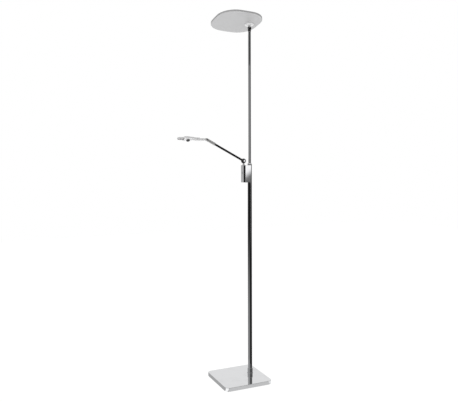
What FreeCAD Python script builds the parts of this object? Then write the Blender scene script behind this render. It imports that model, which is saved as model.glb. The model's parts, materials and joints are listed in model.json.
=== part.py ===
"""Torchiere floor lamp with a reading light, as separate pieces.

Millimetres, +Z up. The origin is the middle of the square the base stands on, and the lamp's front faces -Y.
Each assembly is drawn in a frame of its own, where its pieces are easy to state, and set in place at the end.
"""

import FreeCAD
import Part
import math
import os

from FreeCAD import Placement, Rotation, Vector

# Base plate
BASE_SIDE = 250.0
BASE_CORNER = 22.0
BASE_TOP = 20.0
COVER_FOOT = 2.0
COVER_WALL = 1.5
PLATE_BOTTOM = 2.5
PLATE_TOP = 4.0
WEIGHT_SIDE = 243.0
WEIGHT_TOP = BASE_TOP - COVER_WALL
BASE_SCREW_SPREAD = 92.0
PAD_SIDE = 236.0
GLAND_HEIGHT = 11.0

# Pole, which stands behind the middle of the base and a little to the left
POLE_X = -18.0
POLE_Y = 71.0
LOWER_R = 11.0
LOWER_BORE = 9.5
LOWER_END = 1085.0
UPPER_R = 7.0
UPPER_BORE = 5.5
UPPER_START = 990.0
UPPER_END = 1737.0
COLLAR_HEIGHT = 25.0
CAP_SPIGOT = 25.0

# Driver box on the front of the pole, measured from the pole's axis
BOX_HALF = 22.0
BOX_FRONT = -41.0
BOX_BACK = -3.0
BOX_BOTTOM = 995.0
BOX_TOP = 1081.0
BOX_CORNER = 8.0
BOX_WALL = 2.0
BOX_WEB = -14.0
LID = 3.0
FLOOR = 2.5
BUTTON_HEIGHT = 1042.0
BUTTON_R = 5.5
WIRE_SLOT = (1032.0, 1046.0)
SADDLE_HEIGHTS = (1010.0, 1054.0)
BOX_SCREWS = (-14.5, 14.5)
BOX_SCREW_Y = -7.5

# Arm: its ball, rod, sleeve and elbow
STEM_Y = -34.0
BALL_HEIGHT = 1102.0
BALL_R = 12.5
BALL_FLAT = 11.3
STEM_R = 3.5
STEM_POCKET = 6.1
TONGUE = 5.0
TONGUE_R = 6.5
TONGUE_BAR = 3.5
BALL_SLOT = (46.5, 201.0)
ROD_R = 5.25
ROD_BORE = 4.0
ROD_END = 180.0
SLEEVE_R = 7.25
SLEEVE_START = 174.5
ELBOW_REACH = 221.4
ARM_RISE = 27.7
PIN_R = 2.0
ELBOW_PIN_R = 1.75

# Reading head: a slim paddle that steps in to a narrow tip, on a round neck, measured from the elbow
NECK_R = 6.0
NECK_END = 36.7
SPIGOT_R = 3.5
HEAD_ROLL = -25.0
HEAD_START = 37.0
HEAD_TIP = 149.5
HEAD_THICK = 7.5
HEAD_WALL = 1.6
COVER_THICK = 1.2
COVER_END = 116.5
WINDOW_START = 121.5
WINDOW_INSET = 3.2
HEAD_BUTTON_Y = 97.0
HEAD_BUTTON_R = 8.4
HEAD_BUTTON_DROP = 9.0
HEAD_GUIDE = 4.6
HEAD_SCREWS = ((-8.5, -78.0), (8.5, -78.0), (-13.0, -111.0), (13.0, -111.0))
# Half widths of the paddle at distances from the elbow, from the neck to just short of the tip
PADDLE_SIDE = (
    (7.0, 37.0),
    (7.3, 47.0),
    (9.3, 62.0),
    (14.4, 84.0),
    (18.1, 103.0),
    (18.2, 112.0),
    (16.4, 117.5),
    (11.8, 121.0),
    (9.0, 124.5),
    (8.5, 130.0),
    (8.5, 138.0),
    (7.2, 145.5),
)
PADDLE_SHOULDER = 115.0

# Uplighter: a thin squircle tray on a ball knuckle, measured from the knuckle's middle
KNUCKLE_HEIGHT = 1755.0
KNUCKLE_PAN = 79.0
KNUCKLE_TILT = -10.0
UPLIGHT_SPIN = -78.0
TOP_BALL_R = 10.0
TOP_BALL_FLAT = 8.0
TOP_TONGUE = 4.8
TOP_BAR = 3.4
TOP_SLOT = (191.5, 348.5)
TOP_SHAFT_R = 3.0
STUB_R = 4.0
TRAY_SIDE = 234.0
TRAY_SIDE_RADIUS = 750.0
TRAY_DIAGONAL = 127.8
TRAY_FORWARD = 70.0
TRAY_BOTTOM = 20.0
TRAY_TOP = 28.0
TRAY_FLOOR = 1.8
TRAY_LEDGE = 25.6
FLANGE_R = 22.0
FLANGE_SCREW_CIRCLE = 17.0
LED_RINGS = ((74.0, 26), (48.0, 16))

# Fits
RUNNING = 0.05
CLEAR = 0.3

X_AXIS = Vector(1, 0, 0)
Y_AXIS = Vector(0, 1, 0)
Z_AXIS = Vector(0, 0, 1)


# Basic solids


def block(low, high):
    """A box between two corners."""
    size = Vector(*high) - Vector(*low)
    return Part.makeBox(size.x, size.y, size.z, Vector(*low))


def disc(radius, low, high, x=0.0, y=0.0):
    """An upright cylinder between two heights."""
    return Part.makeCylinder(radius, high - low, Vector(x, y, low))


def ring(outer, inner, low, high, x=0.0, y=0.0):
    """An upright tube between two heights."""
    return disc(outer, low, high, x, y).cut(disc(inner, low - 1, high + 1, x, y))


def rod_y(radius, start, end, x=0.0, z=0.0):
    """A cylinder along Y between two Y values."""
    low = min(start, end)
    return Part.makeCylinder(radius, abs(end - start), Vector(x, low, z), Y_AXIS)


def rod_x(radius, start, end, y=0.0, z=0.0):
    """A cylinder along X between two X values."""
    low = min(start, end)
    return Part.makeCylinder(radius, abs(end - start), Vector(low, y, z), X_AXIS)


def hexagon(across_flats, low, high, bore):
    """An upright hexagonal nut with its bore."""
    corner = across_flats / math.sqrt(3)
    points = [
        Vector(corner * math.cos(math.radians(60 * i)), corner * math.sin(math.radians(60 * i)), low)
        for i in range(7)
    ]
    body = Part.Face(Part.makePolygon(points)).extrude(Vector(0, 0, high - low))
    chamfer = Part.makeCone(corner + high - low, corner - 0.6, high - low + 0.6, Vector(0, 0, low))
    return body.common(chamfer).cut(disc(bore, low - 1, high + 1))


def rounded_block(half_x, low_y, high_y, radii, low, high):
    """A prism on a rectangle whose four upright edges are rounded: front pair first, then the back pair."""
    body = block((-half_x, low_y, low), (half_x, high_y, high))
    for radius, edge_y in zip(radii, (low_y, high_y)):
        if radius > 0:
            edges = [
                e for e in body.Edges
                if abs(e.BoundBox.ZLength - (high - low)) < 1e-6 and abs(e.BoundBox.YMin - edge_y) < 1e-6
                and e.BoundBox.YLength < 1e-6
            ]
            body = body.makeFillet(radius, edges)
    return body


def edges_at(body, height):
    """All edges that lie flat at one height."""
    return [
        e for e in body.Edges
        if abs(e.BoundBox.ZMin - height) < 1e-5 and abs(e.BoundBox.ZMax - height) < 1e-5
    ]


def together(pieces):
    """Fuse a list of solids into one."""
    body = pieces[0]
    for piece in pieces[1:]:
        body = body.fuse(piece)
    return body.removeSplitter()


def without(body, tools):
    """Cut a list of solids out of a body."""
    for tool in tools:
        body = body.cut(tool)
    return body


def sector_slot(half_width, reach, first, last):
    """The space a tongue sweeps: a flat fan about X, its angles taken in degrees from -Y towards -Z."""
    steps = max(2, int((last - first) / 30.0) + 1)
    points = [Vector(-half_width, 0, 0)]
    for i in range(steps + 1):
        angle = math.radians(first + (last - first) * i / steps)
        points.append(Vector(-half_width, -reach * math.cos(angle), -reach * math.sin(angle)))
    points.append(points[0])
    return Part.Face(Part.makePolygon(points)).extrude(Vector(2 * half_width, 0, 0))


# Base


def base_cover():
    """Polished cover, a shallow pan open underneath."""
    half = BASE_SIDE / 2
    body = rounded_block(half, -half, half, (BASE_CORNER, BASE_CORNER), COVER_FOOT, BASE_TOP)
    body = body.makeFillet(1.2, edges_at(body, BASE_TOP))
    inner = half - COVER_WALL
    corner = BASE_CORNER - COVER_WALL
    room = rounded_block(inner, -inner, inner, (corner, corner), COVER_FOOT - 1, WEIGHT_TOP)
    return without(
        body,
        [
            room,
            disc(5.3, WEIGHT_TOP - 1, BASE_TOP + 1, POLE_X, POLE_Y),
            rod_y(4.5, inner - 1, half + 1, POLE_X, GLAND_HEIGHT),
        ],
    )


def base_weight():
    """Cast weight that fills the cover, with room for the clamp nut and a channel to the back."""
    half = WEIGHT_SIDE / 2
    corner = BASE_CORNER - (BASE_SIDE / 2 - half)
    body = rounded_block(half, -half, half, (corner, corner), PLATE_TOP, WEIGHT_TOP)
    tools = [
        disc(18.0, PLATE_TOP - 1, 14.5, POLE_X, POLE_Y),
        disc(5.3, PLATE_TOP, BASE_TOP, POLE_X, POLE_Y),
        block((POLE_X - 4.5, POLE_Y, PLATE_TOP - 1), (POLE_X + 4.5, half + 1, 15.5)),
    ]
    for x, y in corners(BASE_SCREW_SPREAD):
        tools.append(disc(2.0, PLATE_TOP - 1, 12.0, x, y))
    return without(body, tools)


def base_plate():
    """Thin steel plate that closes the base underneath."""
    half = BASE_SIDE / 2 - COVER_WALL - 0.5
    corner = BASE_CORNER - COVER_WALL - 0.5
    body = rounded_block(half, -half, half, (corner, corner), PLATE_BOTTOM, PLATE_TOP)
    for x, y in corners(BASE_SCREW_SPREAD):
        body = body.cut(countersink(x, y))
    return body


def corners(spread):
    """The four corners of a square about the origin."""
    return [(sx * spread, sy * spread) for sx in (-1, 1) for sy in (-1, 1)]


def countersink(x, y):
    """The tapered head of a base screw, flush with the plate's underside."""
    return Part.makeCone(4.0, 2.0, PLATE_TOP - PLATE_BOTTOM, Vector(x, y, PLATE_BOTTOM))


def base_screws():
    """Four countersunk screws from the plate into the weight."""
    screws = []
    for x, y in corners(BASE_SCREW_SPREAD):
        screw = countersink(x, y).fuse(disc(2.0, PLATE_TOP, 11.0, x, y))
        socket = disc(1.2, PLATE_BOTTOM - 1, PLATE_BOTTOM + 1.2, x, y)
        screws.append(screw.cut(socket))
    return Part.makeCompound(screws)


def base_pad():
    """Thin rubber sheet that the lamp stands on, which also covers the screws."""
    half = PAD_SIDE / 2
    corner = BASE_CORNER - (BASE_SIDE / 2 - half)
    body = rounded_block(half, -half, half, (corner, corner), 0.0, PLATE_BOTTOM)
    return body.makeFillet(0.5, edges_at(body, 0.0))


def cable_gland():
    """Inlet bush in the back wall of the base, where a lead would enter."""
    half = BASE_SIDE / 2
    flange = rod_y(7.0, half, half + 2.5, POLE_X, GLAND_HEIGHT)
    rim = [e for e in flange.Edges if e.BoundBox.YLength < 1e-6 and e.BoundBox.YMin > half + 1]
    flange = flange.makeFillet(1.0, rim)
    neck = rod_y(4.5, half - 2.0, half, POLE_X, GLAND_HEIGHT)
    lip = rod_y(6.0, half - 2.9, half - COVER_WALL, POLE_X, GLAND_HEIGHT)
    bore = rod_y(2.75, half - 5, half + 5, POLE_X, GLAND_HEIGHT)
    return together([flange, neck, lip]).cut(bore)


# Foot of the pole


def pole_collar():
    """Turned ring that hides the joint of pole and base: a thin flange with a plain barrel on it."""
    top = BASE_TOP + COLLAR_HEIGHT
    flange = disc(15.5, BASE_TOP, BASE_TOP + 2.0)
    flange = flange.makeFillet(0.8, edges_at(flange, BASE_TOP + 2.0))
    barrel = disc(13.3, BASE_TOP, top)
    barrel = barrel.makeFillet(1.0, edges_at(barrel, top))
    return together([flange, barrel]).cut(disc(LOWER_R, BASE_TOP - 1, top + 1))


def foot_plug():
    """Threaded steel plug pressed into the foot of the lower tube."""
    return ring(LOWER_BORE, 5.0, BASE_TOP, 46.0)


def foot_nipple():
    """Hollow threaded tube that ties the plug to the base."""
    return ring(5.0, 3.25, 9.0, 44.0)


def foot_washer():
    """Washer under the weight."""
    return ring(13.0, 5.1, 13.0, 14.5)


def foot_nut():
    """Thin nut that clamps the pole to the base."""
    return hexagon(17.0, 9.0, 13.0, 5.0)


# Pole


def lower_tube():
    """Wide lower tube with its holes for screws and wires."""
    tools = [
        block((-5, -LOWER_R - 1, WIRE_SLOT[0]), (5, -LOWER_BORE + 2, WIRE_SLOT[1])),
        *[rod_y(2.0, -LOWER_R - 1, 0, 0, z) for z in SADDLE_HEIGHTS],
        *[rod_y(2.0, 0, LOWER_R + 1, 0, z) for z in grub_heights()],
    ]
    return without(ring(LOWER_R, LOWER_BORE, BASE_TOP, LOWER_END), tools)


def grub_heights():
    """Heights of the two grub screws at the back, below the cap."""
    return (LOWER_END - 19.0, LOWER_END - 9.0)


def tube_cap():
    """Reducer from the wide tube to the thin one: a rounded flange and a spigot."""
    flange = disc(12.0, LOWER_END, LOWER_END + 3.5)
    flange = flange.makeFillet(1.6, edges_at(flange, LOWER_END + 3.5))
    shoulder = Part.makeCone(9.6, 8.2, 2.5, Vector(0, 0, LOWER_END + 3.5))
    spigot = disc(LOWER_BORE, LOWER_END - CAP_SPIGOT, LOWER_END)
    body = together([flange, shoulder, spigot]).cut(disc(UPPER_R, LOWER_END - CAP_SPIGOT - 1, LOWER_END + 9))
    return without(body, [rod_y(2.0, 0, LOWER_R + 1, 0, z) for z in grub_heights()])


def guide_bush():
    """Bush inside the lower tube that the thin tube stands in."""
    body = disc(LOWER_BORE, UPPER_START - 6, UPPER_START + 8)
    seat = disc(UPPER_R, UPPER_START, UPPER_START + 9)
    passage = disc(5.0, UPPER_START - 7, UPPER_START + 1)
    return without(body, [seat, passage])


def upper_tube():
    """Thin upper tube, with a slot for the lead behind the driver box."""
    slot = block((-3, -UPPER_R - 1, WIRE_SLOT[0] + 2), (3, -UPPER_BORE + 2, WIRE_SLOT[1] - 2))
    return ring(UPPER_R, UPPER_BORE, UPPER_START, UPPER_END).cut(slot)


def set_screws():
    """Two grub screws that hold the thin tube in the cap."""
    screws = []
    for z in grub_heights():
        screw = rod_y(2.0, UPPER_R + 0.02, LOWER_R - 0.3, 0, z)
        screws.append(screw.cut(rod_y(1.0, LOWER_R - 1.8, LOWER_R, 0, z)))
    return Part.makeCompound(screws)


def upper_lead():
    """Lead inside the thin tube, from the driver box to the knuckle."""
    return disc(2.0, 1040.0, KNUCKLE_HEIGHT - 39.0)


# Driver box


def box_prism(low, high, inset=0.0):
    """The box's plan between two heights, drawn in by an inset."""
    radius = BOX_CORNER - inset
    return rounded_block(BOX_HALF - inset, BOX_FRONT + inset, BOX_BACK, (radius, 0.0), low, high)


def tube_groove(low, high):
    """The half-round groove in the box's back that the pole lies in."""
    return disc(LOWER_R, low, high)


def housing_shell():
    """Upright box with a web for its screws to the pole, hollowed in front for the stem's nut."""
    low = BOX_BOTTOM + FLOOR
    high = BOX_TOP - LID
    half = BOX_HALF - BOX_WALL
    radii = (BOX_CORNER - BOX_WALL, 1.5)
    room = rounded_block(half, BOX_FRONT + BOX_WALL, BOX_WEB, radii, low - 1, high + 1)
    tools = [
        room,
        tube_groove(low - 1, high + 1),
        rod_y(BUTTON_R + CLEAR, BOX_FRONT - 1, BOX_FRONT + BOX_WALL + 1, 0, BUTTON_HEIGHT),
        block((-5, BOX_WEB - 1, WIRE_SLOT[0]), (5, 0, WIRE_SLOT[1])),
        disc(STEM_POCKET, BOX_TOP - 18, high + 1, 0, STEM_Y),
        *[rod_y(2.0, BOX_WEB - 1, 0, 0, z) for z in SADDLE_HEIGHTS],
    ]
    for x in BOX_SCREWS:
        tools.append(disc(1.5, low - 1, low + 8, x, BOX_SCREW_Y))
        tools.append(disc(1.5, high - 8, high + 1, x, BOX_SCREW_Y))
    return without(box_prism(low, high), tools)


def housing_top():
    """Lid of the box, with the seat of the stem's bush."""
    low = BOX_TOP - LID
    body = box_prism(low, BOX_TOP)
    body = body.makeFillet(0.8, edges_at(body, BOX_TOP))
    tools = [tube_groove(low - 1, BOX_TOP + 1), disc(5.5, low - 1, BOX_TOP + 1, 0, STEM_Y)]
    for x in BOX_SCREWS:
        tools.append(disc(1.5, low - 1, BOX_TOP + 1, x, BOX_SCREW_Y))
        tools.append(Part.makeCone(1.5, 3.0, 1.5, Vector(x, BOX_SCREW_Y, BOX_TOP - 1.5)))
    return without(body, tools)


def housing_floor():
    """Floor of the box."""
    high = BOX_BOTTOM + FLOOR
    body = box_prism(BOX_BOTTOM, high)
    body = body.makeFillet(0.8, edges_at(body, BOX_BOTTOM))
    tools = [tube_groove(BOX_BOTTOM - 1, high + 1)]
    for x in BOX_SCREWS:
        tools.append(disc(1.5, BOX_BOTTOM - 1, high + 1, x, BOX_SCREW_Y))
        tools.append(Part.makeCone(3.0, 1.5, 1.5, Vector(x, BOX_SCREW_Y, BOX_BOTTOM)))
    return without(body, tools)


def housing_screws():
    """Two countersunk screws in the lid and two in the floor."""
    screws = []
    for x in BOX_SCREWS:
        upper = disc(1.5, BOX_TOP - LID - 7, BOX_TOP - 1.5, x, BOX_SCREW_Y)
        upper = upper.fuse(Part.makeCone(1.5, 3.0, 1.5, Vector(x, BOX_SCREW_Y, BOX_TOP - 1.5)))
        screws.append(upper.cut(disc(0.9, BOX_TOP - 1.2, BOX_TOP + 1, x, BOX_SCREW_Y)))
        lower = disc(1.5, BOX_BOTTOM + 1.5, BOX_BOTTOM + FLOOR + 7, x, BOX_SCREW_Y)
        lower = lower.fuse(Part.makeCone(3.0, 1.5, 1.5, Vector(x, BOX_SCREW_Y, BOX_BOTTOM)))
        screws.append(lower.cut(disc(0.9, BOX_BOTTOM - 1, BOX_BOTTOM + 1.2, x, BOX_SCREW_Y)))
    return Part.makeCompound(screws)


def saddle_screws():
    """Two screws inside the box that hold it to the pole."""
    screws = []
    for z in SADDLE_HEIGHTS:
        head = rod_y(3.5, BOX_WEB - 2.4, BOX_WEB, 0, z)
        shank = rod_y(2.0, BOX_WEB, -8.4, 0, z)
        cross = block((-2.2, BOX_WEB - 3, z - 0.4), (2.2, BOX_WEB - 1.2, z + 0.4))
        screws.append(head.fuse(shank).cut(cross))
    return Part.makeCompound(screws)


def driver_board():
    """Circuit board of the driver."""
    return block((-15, -21.0, 1000), (15, -19.4, 1058))


def driver_parts():
    """What stands on the driver board: transformer, capacitors, choke and terminal blocks."""
    transformer = block((-13, -33, 1003), (2, -21, 1021))
    transformer = transformer.fuse(block((-11, -34.5, 1006), (0, -33, 1018)))
    capacitors = [disc(4.0, 1003, 1021, 9, -25.2), disc(3.2, 1023, 1031, -9, -24.4)]
    choke = ring(5.0, 2.0, 1023.5, 1028.5, 7, -26.2)
    terminals = [block((x - 4, -29, 1047), (x + 4, -21, 1056)) for x in (-9, 9)]
    return Part.makeCompound([transformer, *capacitors, choke, *terminals])


def button_switch():
    """Small board in the box's grooves with the switch that the button presses."""
    half = BOX_HALF - BOX_WALL - 0.1
    board = block((-half, -31.6, 1031), (half, -30.2, 1053))
    body = block((-3, -34.2, BUTTON_HEIGHT - 3), (3, -31.6, BUTTON_HEIGHT + 3))
    plunger = rod_y(1.6, -35.0, -34.2, 0, BUTTON_HEIGHT)
    return together([board, body, plunger])


def uplight_button():
    """Round push button on the box's front."""
    face = BOX_FRONT - 1.0
    inside = BOX_FRONT + BOX_WALL
    cap = rod_y(BUTTON_R, face, inside + 0.1, 0, BUTTON_HEIGHT)
    rim = [e for e in cap.Edges if e.BoundBox.YLength < 1e-6 and e.BoundBox.YMax < face + 0.01]
    cap = cap.makeFillet(0.5, rim)
    lip = rod_y(BUTTON_R + 1.3, inside + 0.1, inside + 1.1, 0, BUTTON_HEIGHT)
    stalk = rod_y(2.0, inside + 1.1, inside + 2.6, 0, BUTTON_HEIGHT)
    return together([cap, lip, stalk])


# Arm pivot, drawn about the middle of the ball


def stem_bush():
    """Flanged bush in the lid that the stem turns in."""
    lid = BOX_TOP - BALL_HEIGHT
    body = disc(5.5, lid - 9, lid)
    flange = disc(7.0, lid, lid + 0.8)
    return together([body, flange]).cut(disc(STEM_R + RUNNING, lid - 10, lid + 2))


def swivel_stem():
    """Upright stem that turns in the box and carries the tongue of the ball joint."""
    lid = BOX_TOP - BALL_HEIGHT
    shaft = disc(STEM_R, lid - 17, lid + 1)
    collar = disc(6.0, lid + 0.9, lid + 3.5)
    collar = collar.makeFillet(0.6, edges_at(collar, lid + 3.5))
    neck = Part.makeCone(5.2, 4.4, 4.3, Vector(0, 0, lid + 3.5))
    tongue = block((-TONGUE / 2, -TONGUE_BAR, lid + 6), (TONGUE / 2, TONGUE_BAR, 0))
    eye = rod_x(TONGUE_R, -TONGUE / 2, TONGUE / 2)
    bore = rod_x(PIN_R + RUNNING, -TONGUE, TONGUE)
    return together([shaft, collar, neck, tongue, eye]).cut(bore)


def stem_washer():
    """Spring washer under the bush, which makes the swivel's friction."""
    lid = BOX_TOP - BALL_HEIGHT
    return ring(5.0, STEM_R, lid - 10.8, lid - 9.1)


def stem_nut():
    """Nut at the foot of the stem."""
    lid = BOX_TOP - BALL_HEIGHT
    return hexagon(10.0, lid - 15.8, lid - 10.8, STEM_R)


def arm_ball():
    """Polished ball with two flats, slotted for the tongue and bored for the rod."""
    body = Part.makeSphere(BALL_R).common(block((-BALL_FLAT, -20, -20), (BALL_FLAT, 20, 20)))
    half = TONGUE / 2 + 0.4
    tools = [
        rod_x(TONGUE_R + 0.5, -half, half),
        sector_slot(half, 20.0, *BALL_SLOT),
        rod_y(ROD_R, -20, -8.5),
        rod_x(PIN_R, -20, 20),
        rod_x(4.6, BALL_FLAT - 2.6, 20),
    ]
    return without(body, tools)


def ball_pin():
    """Shoulder screw through the ball and the tongue."""
    head = rod_x(4.5, BALL_FLAT - 2.6, BALL_FLAT + 0.2)
    head = head.makeFillet(0.5, [e for e in head.Edges if e.BoundBox.XMin > BALL_FLAT])
    shank = rod_x(PIN_R, -BALL_FLAT + 0.4, BALL_FLAT - 2.6)
    socket = rod_x(1.6, BALL_FLAT - 1.4, BALL_FLAT + 1)
    return together([head, shank]).cut(socket)


def ball_washers():
    """Two thin friction washers, one each side of the tongue."""
    near = rod_x(6.0, TONGUE / 2 + 0.05, TONGUE / 2 + 0.35).cut(rod_x(PIN_R, -9, 9))
    far = near.mirror(Vector(0, 0, 0), X_AXIS)
    return Part.makeCompound([near, far])


# Arm, drawn along -Y from the middle of the ball


def arm_rod():
    """Thin tube of the arm."""
    return rod_y(ROD_R, -ROD_END, -8.5).cut(rod_y(ROD_BORE, -ROD_END - 1, -7))


def arm_sleeve():
    """Thicker sleeve at the arm's end, slotted as a fork for the elbow."""
    barrel = rod_y(SLEEVE_R, -ELBOW_REACH - SLEEVE_R, -SLEEVE_START)
    rim = [e for e in barrel.Edges if e.BoundBox.YLength < 1e-6 and e.BoundBox.YMax > -SLEEVE_START - 0.01]
    barrel = barrel.makeFillet(0.8, rim)
    straight = block((-20, -ELBOW_REACH, -20), (20, 0, 20))
    nose = rod_x(SLEEVE_R, -20, 20, -ELBOW_REACH)
    body = barrel.common(straight.fuse(nose))
    half = TONGUE / 2 + 0.4
    tools = [
        rod_y(ROD_R, -ROD_END, 0),
        rod_y(3.0, -ELBOW_REACH, -ROD_END + 1),
        block((-half, -ELBOW_REACH - 20, -20), (half, -ELBOW_REACH + 9.4, 20)),
        rod_x(ELBOW_PIN_R, -20, 20, -ELBOW_REACH),
        rod_x(3.6, 5.6, 20, -ELBOW_REACH),
        rod_x(3.6, -20, -5.6, -ELBOW_REACH),
    ]
    return without(body, tools)


def arm_lead():
    """Lead inside the arm."""
    return rod_y(1.75, -206.0, -14.0)


def elbow_pin():
    """Headed pin through the fork and the neck's tongue."""
    shank = rod_x(ELBOW_PIN_R, -6.0, 6.0, -ELBOW_REACH)
    heads = [rod_x(3.5, side * 5.6, side * 6.9, -ELBOW_REACH) for side in (-1, 1)]
    return together([shank, *heads]).cut(rod_x(1.2, 6.0, 9.0, -ELBOW_REACH))


# Neck and reading head, drawn along -Y from the elbow


def head_neck():
    """Round neck with a tongue in the elbow and a spigot in the reading head."""
    half = TONGUE / 2
    eye = rod_x(6.2, -half, half)
    bar = block((-half, -12, -4.6), (half, 0, 4.6))
    barrel = rod_y(NECK_R, -NECK_END, -8.6)
    barrel = barrel.makeFillet(0.8, [e for e in barrel.Edges if e.BoundBox.YLength < 1e-6])
    spigot = rod_y(SPIGOT_R, -54.0, -NECK_END + 1)
    bore = rod_x(ELBOW_PIN_R + RUNNING, -9, 9)
    return together([eye, bar, barrel, spigot]).cut(bore)


def neck_ring():
    """Clip ring on the spigot, inside the reading head."""
    return rod_y(4.9, -52.6, -51.4).cut(rod_y(SPIGOT_R, -60, -40))


def paddle_face(inset, height):
    """The reading head's outline as a face: a smooth side, mirrored, drawn in by an inset."""
    points = []
    for x, y in PADDLE_SIDE:
        if y < 50:
            y += inset
        if y > PADDLE_SHOULDER:
            y -= inset
        points.append(Vector(x - inset, -y, height))
    points.append(Vector(0, -HEAD_TIP + inset, height))
    side = Part.BSplineCurve()
    side.interpolate(Points=points, InitialTangent=Vector(0.02, -1, 0), FinalTangent=Vector(-1, 0, 0))
    right = side.toShape()
    left = right.mirror(Vector(0, 0, 0), X_AXIS)
    start = points[0]
    back = Part.makeLine(start, Vector(-start.x, start.y, height))
    return Part.Face(Part.Wire(Part.__sortEdges__([right, left, back])))


def paddle(inset, low, high):
    """A prism on the reading head's outline."""
    return paddle_face(inset, low).extrude(Vector(0, 0, high - low))


def neck_boss(extra=0.0):
    """Round socket that runs out into the paddle's underside."""
    barrel = rod_y(7.0 + extra, -58.0, -HEAD_START)
    taper = Part.makeCone(7.0 + extra, 1.0 + extra, 28.0, Vector(0, -58.0, 0), Vector(0, -1, 0))
    return barrel.fuse(taper)


def head_shell():
    """Upper shell of the reading head with its rim, neck socket and screw posts."""
    body = paddle(0.0, 0.0, HEAD_THICK)
    body = body.makeFillet(2.2, edges_at(body, HEAD_THICK))
    front = block((-60, -200, -1), (60, -58, HEAD_THICK - HEAD_WALL))
    room = paddle(HEAD_WALL, -0.5, HEAD_THICK - HEAD_WALL).common(front)
    posts = [disc(2.6, COVER_THICK, HEAD_THICK - 1, x, y) for x, y in HEAD_SCREWS]
    solid = together([body.cut(room), neck_boss(), *posts])
    tools = [rod_y(SPIGOT_R + RUNNING, -50.5, -30), rod_y(5.3, -55.5, -50)]
    for x, y in HEAD_SCREWS:
        tools.append(disc(1.1, 0, 4.7, x, y))
    return without(solid, tools)


def window_prism(inset, start, low, high):
    """The paddle's tip from a distance in front of the elbow, drawn in by an inset."""
    front = block((-60, -200, low - 1), (60, -start, high + 1))
    return paddle(inset, low, high).common(front)


def head_cover():
    """Plate that closes the wide part of the reading head, with the guide ring of its button."""
    front = block((-60, -COVER_END, -1), (60, -58, HEAD_THICK))
    plate = paddle(HEAD_WALL, 0.0, COVER_THICK).common(front)
    guide = disc(HEAD_BUTTON_R + 1.2, -HEAD_GUIDE, COVER_THICK / 2, 0, -HEAD_BUTTON_Y)
    guide = guide.makeFillet(0.3, edges_at(guide, -HEAD_GUIDE))
    tools = [neck_boss(), disc(HEAD_BUTTON_R + CLEAR, -HEAD_GUIDE - 1, 3, 0, -HEAD_BUTTON_Y)]
    for x, y in HEAD_SCREWS:
        tools.append(Part.makeCone(2.3, 1.1, COVER_THICK, Vector(x, y, 0)))
    return without(together([plate, guide]), tools)


def window_trim():
    """Dark frame in front of the cover that holds the window."""
    frame = window_prism(HEAD_WALL, COVER_END, 0.0, COVER_THICK)
    return frame.cut(window_prism(WINDOW_INSET, WINDOW_START, -1.0, COVER_THICK + 1))


def head_screws():
    """Four small countersunk screws in the cover."""
    screws = []
    for x, y in HEAD_SCREWS:
        head = Part.makeCone(2.3, 1.1, COVER_THICK, Vector(x, y, 0))
        screw = head.fuse(disc(1.1, COVER_THICK, 4.5, x, y))
        screws.append(screw.cut(disc(0.7, -1, 0.7, x, y)))
    return Part.makeCompound(screws)


def reading_window():
    """Frosted window: a lens in the frame's opening, with a lip behind the frame."""
    lens = window_prism(WINDOW_INSET, WINDOW_START, 0.15, 2.4)
    lip = window_prism(WINDOW_INSET - 1.2, WINDOW_START - 1.5, COVER_THICK, 2.4)
    return together([lens, lip])


def reading_board():
    """Board against the upper shell, with the switch above the button."""
    low = HEAD_THICK - HEAD_WALL - 1.5
    front = block((-60, -200, 0), (60, -87, HEAD_THICK))
    board = paddle(3.4, low, HEAD_THICK - HEAD_WALL).common(front)
    board = without(board, [disc(3.0, 0, 9, x, y) for x, y in HEAD_SCREWS])
    switch = block((-3, -HEAD_BUTTON_Y - 3, low - 0.6), (3, -HEAD_BUTTON_Y + 3, low))
    return together([board, switch])


def reading_leds():
    """Rows of LEDs behind the window."""
    low = HEAD_THICK - HEAD_WALL - 1.5
    chips = []
    for row in (127.0, 133.5, 140.0):
        for x in (-2.6, 2.6):
            chips.append(block((x - 1.4, -row - 1.4, low - 0.6), (x + 1.4, -row + 1.4, low)))
    return Part.makeCompound(chips)


def reading_button():
    """Dark push button under the reading head."""
    cap = disc(HEAD_BUTTON_R, -HEAD_BUTTON_DROP, COVER_THICK + 0.1, 0, -HEAD_BUTTON_Y)
    cap = cap.makeFillet(1.2, edges_at(cap, -HEAD_BUTTON_DROP))
    lip = disc(HEAD_BUTTON_R + 1.2, COVER_THICK + 0.1, COVER_THICK + 0.8, 0, -HEAD_BUTTON_Y)
    stalk = disc(2.0, COVER_THICK + 0.8, 2.6, 0, -HEAD_BUTTON_Y)
    return together([cap, lip, stalk])


# Knuckle on top of the pole, drawn about its ball


def top_bush():
    """Flanged bush in the end of the thin tube."""
    end = UPPER_END - KNUCKLE_HEIGHT
    body = disc(UPPER_BORE, end - 16, end)
    flange = disc(UPPER_R, end, end + 1.5)
    return together([body, flange]).cut(disc(TOP_SHAFT_R + RUNNING, end - 17, end + 3))


def top_ball():
    """Small ball with flats on a shaft that turns in the bush, slotted for the stub's tongue."""
    end = UPPER_END - KNUCKLE_HEIGHT
    ball = Part.makeSphere(TOP_BALL_R).common(block((-TOP_BALL_FLAT, -20, -20), (TOP_BALL_FLAT, 20, 20)))
    neck = Part.makeCone(7.3, 8.3, -5.5 - end - 1.6, Vector(0, 0, end + 1.6))
    shaft = disc(TOP_SHAFT_R, end - 18, end + 2)
    half = TOP_TONGUE / 2 + 0.3
    tools = [
        rod_x(6.5, -half, half),
        sector_slot(half, 20.0, *TOP_SLOT),
        rod_x(ELBOW_PIN_R, -20, 20),
        rod_x(3.4, TOP_BALL_FLAT - 1.6, 20),
        rod_x(3.4, -20, -TOP_BALL_FLAT + 1.6),
    ]
    return without(together([ball, neck, shaft]), tools)


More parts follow.
